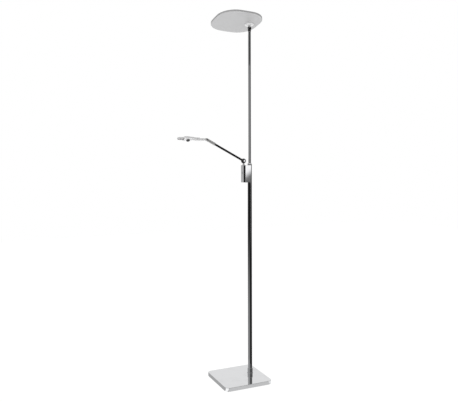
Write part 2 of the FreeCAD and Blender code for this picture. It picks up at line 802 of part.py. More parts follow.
def top_clip():
    """Clip that keeps the knuckle's shaft in its bush."""
    end = UPPER_END - KNUCKLE_HEIGHT
    return ring(4.6, TOP_SHAFT_R, end - 17.5, end - 16.3)


def top_pin():
    """Headed pin through the knuckle."""
    shank = rod_x(ELBOW_PIN_R, -7.0, 7.0)
    heads = [rod_x(3.3, side * (TOP_BALL_FLAT - 1.6), side * (TOP_BALL_FLAT - 0.1)) for side in (-1, 1)]
    return together([shank, *heads]).cut(rod_x(1.2, TOP_BALL_FLAT - 1.0, TOP_BALL_FLAT + 1))


def head_stub():
    """Stub with its tongue in the knuckle, which the uplighter turns on."""
    half = TOP_TONGUE / 2
    eye = rod_x(6.0, -half, half)
    bar = block((-half, -TOP_BAR, 0), (half, TOP_BAR, 12.0))
    collar = disc(7.0, 10.8, 13.5)
    collar = collar.makeFillet(0.6, edges_at(collar, 10.8))
    shaft = disc(STUB_R, 13.0, TRAY_LEDGE - 0.4)
    return together([eye, bar, collar, shaft]).cut(rod_x(ELBOW_PIN_R + RUNNING, -9, 9))


def stub_washer():
    """Spring washer on the tray's floor."""
    floor = TRAY_BOTTOM + TRAY_FLOOR
    return ring(7.0, STUB_R, floor + 0.1, floor + 1.1)


def stub_nut():
    """Thin nut on the stub, inside the tray."""
    floor = TRAY_BOTTOM + TRAY_FLOOR
    return hexagon(13.0, floor + 1.1, floor + 3.3, STUB_R)


# Uplighter, drawn about the stub's axis


def squircle(side, low, high):
    """A prism on a square with bowed sides and large round corners, in front of the stub.

    Each side is an arc through its middle, and each corner arc joins two sides without a kink.
    """
    scale = side / TRAY_SIDE
    half = side / 2
    bow = TRAY_SIDE_RADIUS * scale
    reach = TRAY_DIAGONAL * scale
    a = half - bow
    middle = (a * a - (bow - reach) ** 2) / (2 * (a + math.sqrt(2) * (bow - reach)))
    corner = reach - middle * math.sqrt(2)
    away = Vector(middle - a, middle, 0).normalize()
    touch = Vector(a, 0, 0) + away * bow
    centre = Vector(0, -TRAY_FORWARD, low)
    edges = []
    for quarter in range(4):
        turn = Rotation(Z_AXIS, 90.0 * quarter)
        start = Vector(touch.x, -touch.y, 0)
        side_arc = [start, Vector(half, 0, 0), touch]
        tip = Vector(1, 1, 0).normalize() * reach
        corner_arc = [touch, tip, Vector(touch.y, touch.x, 0)]
        for arc in (side_arc, corner_arc):
            points = [centre + turn.multVec(p) for p in arc]
            edges.append(Part.Arc(*points).toShape())
    if corner <= 0:
        raise ValueError("the corner arc needs a positive radius")
    return Part.Face(Part.Wire(edges)).extrude(Vector(0, 0, high - low))


def flange_screw_places():
    """Centres of the three flange screws."""
    angles = [math.radians(30 + 120 * i) for i in range(3)]
    return [(FLANGE_SCREW_CIRCLE * math.cos(a), FLANGE_SCREW_CIRCLE * math.sin(a)) for a in angles]


def head_flange():
    """Turned flange under the tray that turns on the stub."""
    plate = disc(FLANGE_R, TRAY_BOTTOM - 3, TRAY_BOTTOM)
    plate = plate.makeFillet(1.2, edges_at(plate, TRAY_BOTTOM - 3))
    boss = Part.makeCone(8.5, 13.0, TRAY_BOTTOM - 16.8, Vector(0, 0, 13.8))
    boss = boss.makeFillet(0.6, edges_at(boss, 13.8))
    tools = [disc(STUB_R + RUNNING, 10, 30)]
    for x, y in flange_screw_places():
        tools.append(disc(1.5, 10, 30, x, y))
        tools.append(Part.makeCone(3.0, 1.5, 1.5, Vector(x, y, TRAY_BOTTOM - 3)))
    return without(together([plate, boss]), tools)


def flange_screws():
    """Three countersunk screws from the flange into the tray."""
    screws = []
    for x, y in flange_screw_places():
        head = Part.makeCone(3.0, 1.5, 1.5, Vector(x, y, TRAY_BOTTOM - 3))
        screw = head.fuse(disc(1.5, TRAY_BOTTOM - 1.5, TRAY_BOTTOM + TRAY_FLOOR + 1.0, x, y))
        screws.append(screw.cut(disc(0.9, TRAY_BOTTOM - 4, TRAY_BOTTOM - 2.0, x, y)))
    return Part.makeCompound(screws)


def uplight_tray():
    """Thin tray of the uplighter with a ledge for its diffuser."""
    body = squircle(TRAY_SIDE, TRAY_BOTTOM, TRAY_TOP)
    body = body.makeFillet(1.5, edges_at(body, TRAY_BOTTOM))
    body = body.makeFillet(0.5, edges_at(body, TRAY_TOP))
    tools = [
        squircle(TRAY_SIDE - 12.0, TRAY_BOTTOM + TRAY_FLOOR, TRAY_TOP),
        squircle(TRAY_SIDE - 4.4, TRAY_LEDGE, TRAY_TOP + 1),
        disc(STUB_R + RUNNING, 10, 30),
        *[disc(1.5, 10, 30, x, y) for x, y in flange_screw_places()],
    ]
    return without(body, tools)


def uplight_board():
    """LED board on the tray's floor, open round the stub's nut."""
    floor = TRAY_BOTTOM + TRAY_FLOOR
    return squircle(196.0, floor, floor + 1.6).cut(disc(26.0, 10, 40))


def uplight_leds():
    """LEDs on the board in two rings that leave out the stub's opening."""
    low = TRAY_BOTTOM + TRAY_FLOOR + 1.6
    chips = []
    for radius, count in LED_RINGS:
        for i in range(count):
            angle = 2 * math.pi * i / count
            x = radius * math.cos(angle)
            y = radius * math.sin(angle) - TRAY_FORWARD
            if math.hypot(x, y) > 31.0:
                chips.append(block((x - 1.75, y - 1.75, low), (x + 1.75, y + 1.75, low + 0.7)))
    return Part.makeCompound(chips)


def uplight_diffuser():
    """Opal sheet that closes the tray on top."""
    body = squircle(TRAY_SIDE - 4.8, TRAY_LEDGE, TRAY_TOP - 0.2)
    return body.makeFillet(0.4, edges_at(body, TRAY_TOP - 0.2))


# Frames that the assemblies are set in


def frames():
    """Where each assembly's own frame lies on the lamp."""
    base = Placement()
    pole = Placement(Vector(POLE_X, POLE_Y, 0), Rotation())
    pivot = Placement(Vector(POLE_X, POLE_Y + STEM_Y, BALL_HEIGHT), Rotation())
    arm = pivot.multiply(Placement(Vector(), Rotation(X_AXIS, -ARM_RISE)))
    elbow_point = arm.multVec(Vector(0, -ELBOW_REACH, 0))
    neck = Placement(elbow_point, Rotation())
    head = neck.multiply(Placement(Vector(), Rotation(Y_AXIS, HEAD_ROLL)))
    top = Placement(Vector(POLE_X, POLE_Y, KNUCKLE_HEIGHT), Rotation())
    knuckle = top.multiply(Placement(Vector(), Rotation(Z_AXIS, KNUCKLE_PAN)))
    stub = knuckle.multiply(Placement(Vector(), Rotation(X_AXIS, KNUCKLE_TILT)))
    uplighter = stub.multiply(Placement(Vector(), Rotation(Z_AXIS, UPLIGHT_SPIN)))
    return {
        "base": base,
        "pole": pole,
        "pivot": pivot,
        "arm": arm,
        "neck": neck,
        "head": head,
        "top": top,
        "knuckle": knuckle,
        "stub": stub,
        "uplighter": uplighter,
    }


PIECES = {
    "base": [base_cover, base_weight, base_plate, base_pad, base_screws, cable_gland],
    "pole": [
        pole_collar, foot_plug, foot_nipple, foot_washer, foot_nut,
        lower_tube, tube_cap, guide_bush, upper_tube, set_screws, upper_lead,
        housing_shell, housing_top, housing_floor, housing_screws, saddle_screws,
        driver_board, driver_parts, button_switch, uplight_button,
    ],
    "pivot": [stem_bush, swivel_stem, stem_washer, stem_nut],
    "arm": [arm_ball, ball_pin, ball_washers, arm_rod, arm_sleeve, arm_lead, elbow_pin],
    "neck": [head_neck, neck_ring],
    "head": [
        head_shell, head_cover, head_screws, window_trim,
        reading_window, reading_board, reading_leds, reading_button,
    ],
    "top": [top_bush],
    "knuckle": [top_ball, top_clip, top_pin],
    "stub": [head_stub, stub_washer, stub_nut],
    "uplighter": [head_flange, flange_screws, uplight_tray, uplight_board, uplight_leds, uplight_diffuser],
}


def main():
    """Build every piece, set it in place and write it out."""
    os.makedirs("parts", exist_ok=True)
    places = frames()
    for frame, makers in PIECES.items():
        for make in makers:
            shape = make().copy()
            shape.Placement = places[frame].multiply(shape.Placement)
            shape.exportStep("parts/%s.step" % make.__name__)
            box = shape.BoundBox
            facts = (make.__name__, len(shape.Solids), shape.isValid(), box.ZMin, box.ZMax)
            print("%-18s solids %3d valid %s z %.1f to %.1f" % facts)
    for name, place in places.items():
        point = [round(v, 3) for v in place.Base]
        side = [round(v, 5) for v in place.Rotation.multVec(X_AXIS)]
        up = [round(v, 5) for v in place.Rotation.multVec(Z_AXIS)]
        print(name, point, "X", side, "Z", up)


main()
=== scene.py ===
"""Looks of a torchiere floor lamp with a reading light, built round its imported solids.

Metres, +Z up. The lamp stands on its pad at the origin and its front faces -Y. The solids keep their own
shapes and get their finishes here. Screws, light sources, buttons, the pad and the inlet are built as finer
pieces. The lamp stands on a light table, in a dark room with pale and grey flats that bright metal mirrors.
"""

from __future__ import annotations

import json
import logging
import math
from dataclasses import asdict, dataclass, fields
from enum import Enum
from functools import cache
from typing import Any, Sequence

import bmesh
import bpy
from mathutils import Matrix, Vector

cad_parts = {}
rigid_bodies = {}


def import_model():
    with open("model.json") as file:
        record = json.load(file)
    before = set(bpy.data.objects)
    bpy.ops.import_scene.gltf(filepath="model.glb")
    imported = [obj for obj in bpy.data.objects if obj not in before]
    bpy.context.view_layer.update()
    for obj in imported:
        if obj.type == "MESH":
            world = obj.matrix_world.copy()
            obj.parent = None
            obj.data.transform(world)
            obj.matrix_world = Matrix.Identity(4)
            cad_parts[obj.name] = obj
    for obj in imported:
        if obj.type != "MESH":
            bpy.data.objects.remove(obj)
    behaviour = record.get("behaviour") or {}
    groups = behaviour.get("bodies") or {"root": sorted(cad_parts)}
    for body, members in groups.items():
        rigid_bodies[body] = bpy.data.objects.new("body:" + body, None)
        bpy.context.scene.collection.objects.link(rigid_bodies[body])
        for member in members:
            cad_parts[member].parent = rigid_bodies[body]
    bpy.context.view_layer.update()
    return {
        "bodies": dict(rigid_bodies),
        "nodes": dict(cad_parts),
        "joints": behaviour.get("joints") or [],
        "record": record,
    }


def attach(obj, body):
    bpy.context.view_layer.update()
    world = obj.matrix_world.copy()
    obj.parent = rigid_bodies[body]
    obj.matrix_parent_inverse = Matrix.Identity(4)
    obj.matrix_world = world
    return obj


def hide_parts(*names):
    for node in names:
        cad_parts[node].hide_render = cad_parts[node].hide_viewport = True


LOG = logging.getLogger("lamp")

MM = 0.001
TINY = 1e-7
TURNED_CREASE = math.radians(35)
GROWN_CREASE = math.radians(30)
POLE_AXIS = (-18.0, 71.0)
UP, DOWN = Vector((0, 0, 1)), Vector((0, 0, -1))
BACK, FRONT = Vector((0, 1, 0)), Vector((0, -1, 0))

WHITE = (1.0, 1.0, 1.0)
DRIFT = (0.3, 0.7)
WORN = 0.94
DUST_ROUGHNESS = 0.5
RELIEF_DEPTH = 0.0001
SCATTER_DEPTH = 0.004

Colour = tuple[float, float, float]
Point = tuple[float, float, float]
Spot = tuple[float, float]
Profile = tuple[tuple[float, float], ...]
Seat = tuple[Vector, Vector]
Socket = bpy.types.NodeSocket


class Slot(Enum):
    """Record slots of the finer pieces."""

    CHROME = "chrome"
    ZINC = "zinc_steel"
    RUBBER = "rubber"
    PLASTIC = "black_plastic"
    LED = "led"


class Body(Enum):
    """Rigid bodies that the finer pieces ride on."""

    STAND = "stand"
    BOX_BUTTON = "box_button"
    HEAD = "reading_head"
    HEAD_BUTTON = "head_button"
    UPLIGHTER = "uplighter"


class Blend(Enum):
    """What a Mix node mixes, with the numbers of its inputs and of its output."""

    VALUE = ("FLOAT", (0, 2, 3), 0)
    COLOUR = ("RGBA", (0, 6, 7), 2)


def rgba(colour: Sequence[float]) -> tuple[float, float, float, float]:
    """Give a colour its opaque alpha."""
    return (colour[0], colour[1], colour[2], 1.0)


class Graph:
    """A node tree with short ways to add and join its nodes."""

    def __init__(self, tree: bpy.types.NodeTree) -> None:
        """Wrap a tree."""
        self.tree = tree

    def node(self, kind: str, inputs: dict[Any, Any] | None = None, **settings: Any) -> bpy.types.Node:
        """Add a node.

        Args:
            kind: The node's type name.
            inputs: Socket name or number to a value or to another node's output.
            **settings: Properties of the node itself.

        Returns:
            The new node.
        """
        made = self.tree.nodes.new(kind)
        for name, value in settings.items():
            setattr(made, name, value)
        for name, value in (inputs or {}).items():
            self.feed(made.inputs[name], value)
        return made

    def feed(self, socket: Socket, value: Any) -> None:
        """Give a socket a value or a link.

        Args:
            socket: The input to fill.
            value: A plain value, or another node's output.
        """
        if isinstance(value, Socket):
            self.tree.links.new(value, socket)
        else:
            socket.default_value = value

    def maths(self, operation: str, *values: Any) -> Socket:
        """Add a Math node.

        Args:
            operation: The Math node's operation.
            *values: Its inputs in order.

        Returns:
            The result.
        """
        return self.node("ShaderNodeMath", dict(enumerate(values)), operation=operation).outputs[0]

    def ramp(self, value: Any, low: float, high: float, bottom: Any = 0.0, top: Any = 1.0) -> Socket:
        """Map a value smoothly from one range to another.

        Args:
            value: The value to map.
            low: Where the input range starts.
            high: Where the input range ends.
            bottom: The result at the start.
            top: The result at the end.

        Returns:
            The mapped value.
        """
        sockets = {"Value": value, "From Min": low, "From Max": high, "To Min": bottom, "To Max": top}
        return self.node("ShaderNodeMapRange", sockets, interpolation_type="SMOOTHSTEP").outputs["Result"]

    def mix(self, kind: Blend, factor: Any, first: Any, second: Any) -> Socket:
        """Mix two values or two colours.

        Args:
            kind: What is mixed.
            factor: Share of the second.
            first: The result where the factor is 0.
            second: The result where the factor is 1.

        Returns:
            The mix.
        """
        data_type, inputs, output = kind.value
        made = self.node("ShaderNodeMix", data_type=data_type)
        for number, value in zip(inputs, (factor, first, second)):
            self.feed(made.inputs[number], rgba(value) if isinstance(value, tuple) else value)
        return made.outputs[output]

    def noise(self, place: Socket, scale: Any, detail: float) -> Socket:
        """Add a Noise Texture node.

        Args:
            place: Where it is read.
            scale: Its scale.
            detail: Its detail.

        Returns:
            The noise.
        """
        sockets = {"Vector": place, "Scale": scale, "Detail": detail}
        return self.node("ShaderNodeTexNoise", sockets).outputs["Fac"]

    def place(self) -> Socket:
        """Give the place on the object."""
        return self.node("ShaderNodeTexCoord").outputs["Object"]


# Effects that several finishes share


class Effects:
    """Shader groups that put out masks and values, each built once."""

    @staticmethod
    def _group(name: str, inputs: dict[str, float], outputs: Sequence[str]) -> tuple[Graph, Any, Any]:
        """Start a group.

        Args:
            name: The group's name.
            inputs: Input names and their defaults.
            outputs: Output names.

        Returns:
            The graph, what its inputs give, and where its results go.
        """
        tree = bpy.data.node_groups.new(name, "ShaderNodeTree")
        for title, value in inputs.items():
            socket = tree.interface.new_socket(title, in_out="INPUT", socket_type="NodeSocketFloat")
            socket.default_value = value
        for title in outputs:
            tree.interface.new_socket(title, in_out="OUTPUT", socket_type="NodeSocketFloat")
        graph = Graph(tree)
        return graph, graph.node("NodeGroupInput").outputs, graph.node("NodeGroupOutput").inputs

    @staticmethod
    @cache
    def smudges() -> bpy.types.NodeTree:
        """Soft hand marks and fine polishing hairlines.

        Returns:
            The group, which gives a roughness and the marks' mask.
        """
        inputs = {"Scale": 25.0, "Clean": 0.03, "Marked": 0.09, "Hairlines": 0.015}
        graph, given, result = Effects._group("smudges", inputs, ["Roughness", "Mask"])
        place = graph.place()
        mask = graph.ramp(graph.noise(place, given["Scale"], 5.0), 0.5, 0.78)
        stretch = graph.node("ShaderNodeMapping", {"Vector": place, "Scale": (900.0, 900.0, 60.0)})
        fine = graph.maths("MULTIPLY", graph.noise(stretch.outputs[0], 1.0, 2.0), given["Hairlines"])
        gap = graph.maths("SUBTRACT", given["Marked"], given["Clean"])
        level = graph.maths("MULTIPLY_ADD", mask, gap, given["Clean"])
        graph.feed(result["Roughness"], graph.maths("ADD", level, fine))
        graph.feed(result["Mask"], mask)
        return graph.tree

    @staticmethod
    @cache
    def dust() -> bpy.types.NodeTree:
        """Thin dust on what faces up.

        Returns:
            The group, which gives the dust's mask.
        """
        graph, given, result = Effects._group("dust", {"Amount": 0.1, "Scale": 60.0}, ["Mask"])
        normal = graph.node("ShaderNodeNewGeometry").outputs["Normal"]
        lying = graph.ramp(graph.node("ShaderNodeSeparateXYZ", {0: normal}).outputs["Z"], 0.35, 0.95)
        patch = graph.ramp(graph.noise(graph.place(), given["Scale"], 6.0), 0.35, 0.7)
        cover = graph.maths("MULTIPLY", lying, patch)
        graph.feed(result["Mask"], graph.maths("MULTIPLY", cover, given["Amount"]))
        return graph.tree

    @staticmethod
    @cache
    def grain() -> bpy.types.NodeTree:
        """Fine even grain with larger soft variation.

        Returns:
            The group, which gives a height and a tone.
        """
        inputs = {"Scale": 1500.0, "Variation": 40.0}
        graph, given, result = Effects._group("grain", inputs, ["Height", "Tone"])
        place = graph.place()
        graph.feed(result["Height"], graph.noise(place, given["Scale"], 3.0))
        graph.feed(result["Tone"], graph.noise(place, given["Variation"], 4.0))
        return graph.tree


# Finishes


class Paint(Graph):
    """A material's node tree, with its Principled BSDF."""

    def __init__(self, tree: bpy.types.NodeTree) -> None:
        """Wrap a material's tree."""
        super().__init__(tree)
        self.shader = tree.nodes["Principled BSDF"]

    def set(self, title: str, value: Any) -> None:
        """Give an input of the shader a value or a link."""
        self.feed(self.shader.inputs[title], value)

    def effect(self, tree: bpy.types.NodeTree, **values: float) -> Any:
        """Place a shared effect.

        Args:
            tree: The effect's group.
            **values: Its inputs.

        Returns:
            What the group gives.
        """
        made = self.node("ShaderNodeGroup")
        made.node_tree = tree
        for title, value in values.items():
            made.inputs[title].default_value = value
        return made.outputs

    def relief(self, strength: float, height: Socket) -> None:
        """Join a height to the shader's normal through a Bump node."""
        sockets = {"Strength": strength, "Distance": RELIEF_DEPTH, "Height": height}
        self.set("Normal", self.node("ShaderNodeBump", sockets).outputs["Normal"])


@dataclass(frozen=True)
class Finish:
    """A surface finish. Each kind lays its own nodes."""

    name: str
    colour: Colour
    metallic: float = 0.0
    bump: float = 0.0

    def material(self) -> bpy.types.Material:
        """Find or build the material.

        Returns:
            The material of this finish.
        """
        found = bpy.data.materials.get(self.name)
        if found:
            return found
        made = bpy.data.materials.new(self.name)
        made.use_nodes = True
        made.diffuse_color = rgba(self.colour)
        paint = Paint(made.node_tree)
        paint.set("Metallic", self.metallic)
        self.lay(paint)
        return made

    def lay(self, paint: Paint) -> None:
        """Lay this finish's nodes.

        Args:
            paint: The material's nodes.
        """
        raise NotImplementedError


@dataclass(frozen=True)
class Polished(Finish):
    """Bright plate or gloss lacquer with hand marks, hairlines and a little dust."""

    clean: float = 0.025
    marked: float = 0.07
    dust: float = 0.05
    dust_colour: Colour = (0.62, 0.61, 0.58)
    mark_scale: float = 25.0
    specular: float = 0.5

    def lay(self, paint: Paint) -> None:
        """Lay marks and dust over the plate.

        Args:
            paint: The material's nodes.
        """
        marks = paint.effect(Effects.smudges(), Scale=self.mark_scale, Clean=self.clean, Marked=self.marked)
        dust = paint.effect(Effects.dust(), Amount=self.dust)["Mask"]
        worn = tuple(WORN * c for c in self.colour)
        tone = paint.mix(Blend.COLOUR, marks["Mask"], self.colour, worn)
        paint.set("Base Color", paint.mix(Blend.COLOUR, dust, tone, self.dust_colour))
        paint.set("Roughness", paint.maths("MULTIPLY_ADD", dust, DUST_ROUGHNESS, marks["Roughness"]))
        paint.set("Specular IOR Level", self.specular)


@dataclass(frozen=True)
class Grained(Finish):
    """Moulded plastic, rubber, casting or sheet, with grain and a tone that drifts."""

    roughness: float = 0.5
    spread: float = 0.08
    grain_scale: float = 1500.0
    variation: float = 60.0
    tone_depth: float = 0.2
    dust: float = 0.0
    dust_colour: Colour = (0.5, 0.49, 0.46)

    def lay(self, paint: Paint) -> None:
        """Lay grain and dust over the drifting tone.

        Args:
            paint: The material's nodes.
        """
        grain = self.sheen(paint)
        dust = paint.effect(Effects.dust(), Amount=self.dust)["Mask"]
        paint.set("Base Color", paint.mix(Blend.COLOUR, dust, self.tone(paint, grain), self.dust_colour))
        paint.relief(self.bump, grain["Height"])

    def sheen(self, paint: Paint) -> Any:
        """Lay the grain and let the roughness drift with its tone.

        Args:
            paint: The material's nodes.

        Returns:
            What the grain gives.
        """
        grain = paint.effect(Effects.grain(), Scale=self.grain_scale, Variation=self.variation)
        low, high = self.roughness - self.spread, self.roughness + self.spread
        paint.set("Roughness", paint.ramp(grain["Tone"], *DRIFT, low, high))
        return grain

    def tone(self, paint: Paint, grain: Any) -> Socket:
        """Give the colour, darker where the grain's tone is low."""
        darker = tuple(c * (1 - self.tone_depth) for c in self.colour)
        return paint.mix(Blend.COLOUR, paint.ramp(grain["Tone"], *DRIFT), darker, self.colour)


@dataclass(frozen=True)
class Satin(Grained):
    """Fine satin or lacquered metal with a soft, even sheen."""

    roughness: float = 0.35
    spread: float = 0.06
    grain_scale: float = 1800.0
    variation: float = 30.0
    tone_depth: float = 0.04
    dust: float = 0.05
    dust_colour: Colour = (0.6, 0.59, 0.56)


@dataclass(frozen=True)
class LightTable(Grained):
    """Grey matt sheet that is lit from behind."""

    glow: float = 0.93

    def lay(self, paint: Paint) -> None:
        """Lay the sheet and its light.

        Args:
            paint: The material's nodes.
        """
        super().lay(paint)
        paint.set("Emission Color", rgba(WHITE))
        paint.set("Emission Strength", self.glow)


@dataclass(frozen=True)
class Circuit(Grained):
    """Circuit board: tracks under the mask show as a fine raised pattern."""

    track: Colour = (0.1, 0.32, 0.16)
    pitch: float = 260.0

    def lay(self, paint: Paint) -> None:
        """Lay the tracks.

        Args:
            paint: The material's nodes.
        """
        given = {"Vector": paint.place(), "Scale": self.pitch}
        cells = paint.node("ShaderNodeTexVoronoi", given, distance="MANHATTAN")
        lines = paint.ramp(cells.outputs["Distance"], 0.35, 0.5)
        paint.set("Base Color", paint.mix(Blend.COLOUR, lines, self.colour, self.track))
        self.sheen(paint)
        paint.relief(self.bump, lines)


@dataclass(frozen=True)
class Opal(Grained):
    """Frosted acrylic that lets a little light through."""

    roughness: float = 0.38
    spread: float = 0.05
    grain_scale: float = 2200.0
    variation: float = 25.0
    tone_depth: float = 0.04
    scatter: float = 0.35

    def lay(self, paint: Paint) -> None:
        """Lay the frosting.

        Args:
            paint: The material's nodes.
        """
        grain = self.sheen(paint)
        paint.set("Base Color", self.tone(paint, grain))
        paint.set("Subsurface Weight", self.scatter)
        paint.set("Subsurface Scale", SCATTER_DEPTH)
        paint.relief(self.bump, grain["Height"])


PLATE = (0.70, 0.705, 0.715)
CHROME = Polished("chrome_plate", PLATE, metallic=1.0)
CHROME_BASE = Polished("chrome_plate_base", PLATE, metallic=1.0, clean=0.02, marked=0.06, dust=0.04)
CHROME_TUBE = Polished("chrome_tube", PLATE, metallic=1.0, dust=0.0, mark_scale=40.0)
CHROME_DARK = Polished("dark_chrome_plate", (0.10, 0.10, 0.104), metallic=1.0, dust=0.0)
LACQUER = Polished("gloss_black_lacquer", (0.012, 0.012, 0.013), dust=0.0, mark_scale=40.0, specular=0.2)
SILVER = Satin("satin_silver_lacquer", (0.55, 0.55, 0.555), metallic=0.15, roughness=0.5, bump=0.08)
PALE = Satin("pale_silver_lacquer", (0.90, 0.90, 0.903), metallic=0.06, roughness=0.45, bump=0.06)
NICKEL = Satin("satin_nickel_plate", (0.60, 0.598, 0.59), metallic=0.5, roughness=0.34, bump=0.05)
ZINC = Satin("zinc_plated_steel", (0.56, 0.57, 0.60), metallic=1.0, roughness=0.3, spread=0.1, bump=0.1)
IRON = Grained("raw_casting", (0.11, 0.11, 0.115), metallic=0.6, roughness=0.7, bump=0.5, grain_scale=700.0)
RUBBER = Grained("rubber_sheet", (0.02, 0.02, 0.021), roughness=0.78, bump=0.3, grain_scale=1100.0)
PLASTIC = Grained("moulded_black", (0.012, 0.012, 0.013), roughness=0.42, bump=0.2, grain_scale=2200.0)
COMPONENT = Grained("component_body", (0.04, 0.04, 0.05), roughness=0.45, bump=0.15)
LEAD = Grained("lead_jacket", (0.5, 0.5, 0.5), roughness=0.55, bump=0.1)
PHOSPHOR = Grained("led_phosphor", (0.82, 0.66, 0.16), roughness=0.35, bump=0.15, tone_depth=0.08)
TABLE = LightTable("studio_floor", (0.22, 0.22, 0.22), roughness=0.9, tone_depth=0.004)
BOARD = Circuit("green_board", (0.03, 0.18, 0.08), roughness=0.35, bump=0.3)
WHITE_BOARD = Circuit("white_board", (0.8, 0.8, 0.78), roughness=0.4, bump=0.25, track=(0.7, 0.7, 0.67))
OPAL = Opal("opal_acrylic", (0.86, 0.86, 0.84), bump=0.06)
WINDOW = Opal("reading_window_acrylic", (0.32, 0.32, 0.33), roughness=0.3, scatter=0.15, bump=0.05)


# Meshes


def add_object(name: str, mesh: bpy.types.Mesh) -> bpy.types.Object:
    """Link a mesh as an object at the origin.

    Args:
        name: The object's name.
        mesh: Its mesh.

    Returns:
        The object.
    """
    made = bpy.data.objects.new(name, mesh)
    bpy.context.scene.collection.objects.link(made)
    return made


def weld(mesh: bpy.types.Mesh) -> None:
    """Merge a mesh's doubled points and point its faces outwards.

    Args:
        mesh: The mesh.
    """
    shape = bmesh.new()
    shape.from_mesh(mesh)
    bmesh.ops.remove_doubles(shape, verts=shape.verts, dist=TINY)
    bmesh.ops.recalc_face_normals(shape, faces=shape.faces)
    shape.to_mesh(mesh)
    shape.free()


def turned(name: str, profile: Profile, place: Matrix, finish: Finish, steps: int = 96) -> bpy.types.Object:
    """Turn a profile about Z into a closed piece.

    Args:
        name: The piece's name.
        profile: Radius and height in millimetres, from the top to the bottom.
        place: Where the piece's own frame lies on the lamp.
        finish: Its finish.
        steps: Steps round the axis.

    Returns:
        The piece, with its place in its mesh.
    """
    shape = bmesh.new()
    angles = [2 * math.pi * i / steps for i in range(steps)]
    rings: list[list[bmesh.types.BMVert]] = []
    for radius, height in profile:
        ring = [(radius * MM * math.cos(a), radius * MM * math.sin(a), height * MM) for a in angles]
        rings.append([shape.verts.new(corner) for corner in (ring if radius else ring[:1])])
    for upper, lower in zip(rings, rings[1:]):
        for i in range(steps):
            j = (i + 1) % steps
            corners = [(upper, i), (upper, j), (lower, j), (lower, i)]
            shape.faces.new(list(dict.fromkeys(ring[k % len(ring)] for ring, k in corners)))
    bmesh.ops.recalc_face_normals(shape, faces=shape.faces)
    shape.transform(place)
    mesh = bpy.data.meshes.new(name)
    shape.to_mesh(mesh)
    shape.free()
    mesh.polygons.foreach_set("use_smooth", [True] * len(mesh.polygons))
    mesh.set_sharp_from_angle(angle=TURNED_CREASE)
    mesh.materials.append(finish.material())
    return add_object(name, mesh)


def upright_on(point: Vector, up: Vector) -> Matrix:
    """Build the frame whose Z is a direction.

    Args:
        point: Where the frame lies, in metres.
        up: The direction of its Z.

    Returns:
        The frame's matrix.
    """
    return Matrix.Translation(point) @ up.to_track_quat("Z", "Y").to_matrix().to_4x4()


def turn_about(axis: str, degrees: float) -> Matrix:
    """Build a turn about an axis."""
    return Matrix.Rotation(math.radians(degrees), 4, axis)


# What repeats. Sizes in millimetres; a tree has an input for each of them


@dataclass(frozen=True)
class Screw:
    """Countersunk screw with a hexagon socket."""

    head_radius: float
    head_height: float
    shank_radius: float
    shank_length: float
    socket_radius: float
    socket_depth: float


@dataclass(frozen=True)
class Nub:
    """Low round nub."""

    radius: float
    height: float


@dataclass(frozen=True)
class Ribs:
    """Grip ribs round a ring."""

    count: int
    radius: float
    width: float
    height: float


def title_of(name: str) -> str:
    """Turn a field's name into its input's title."""
    return name.replace("_", " ").title()


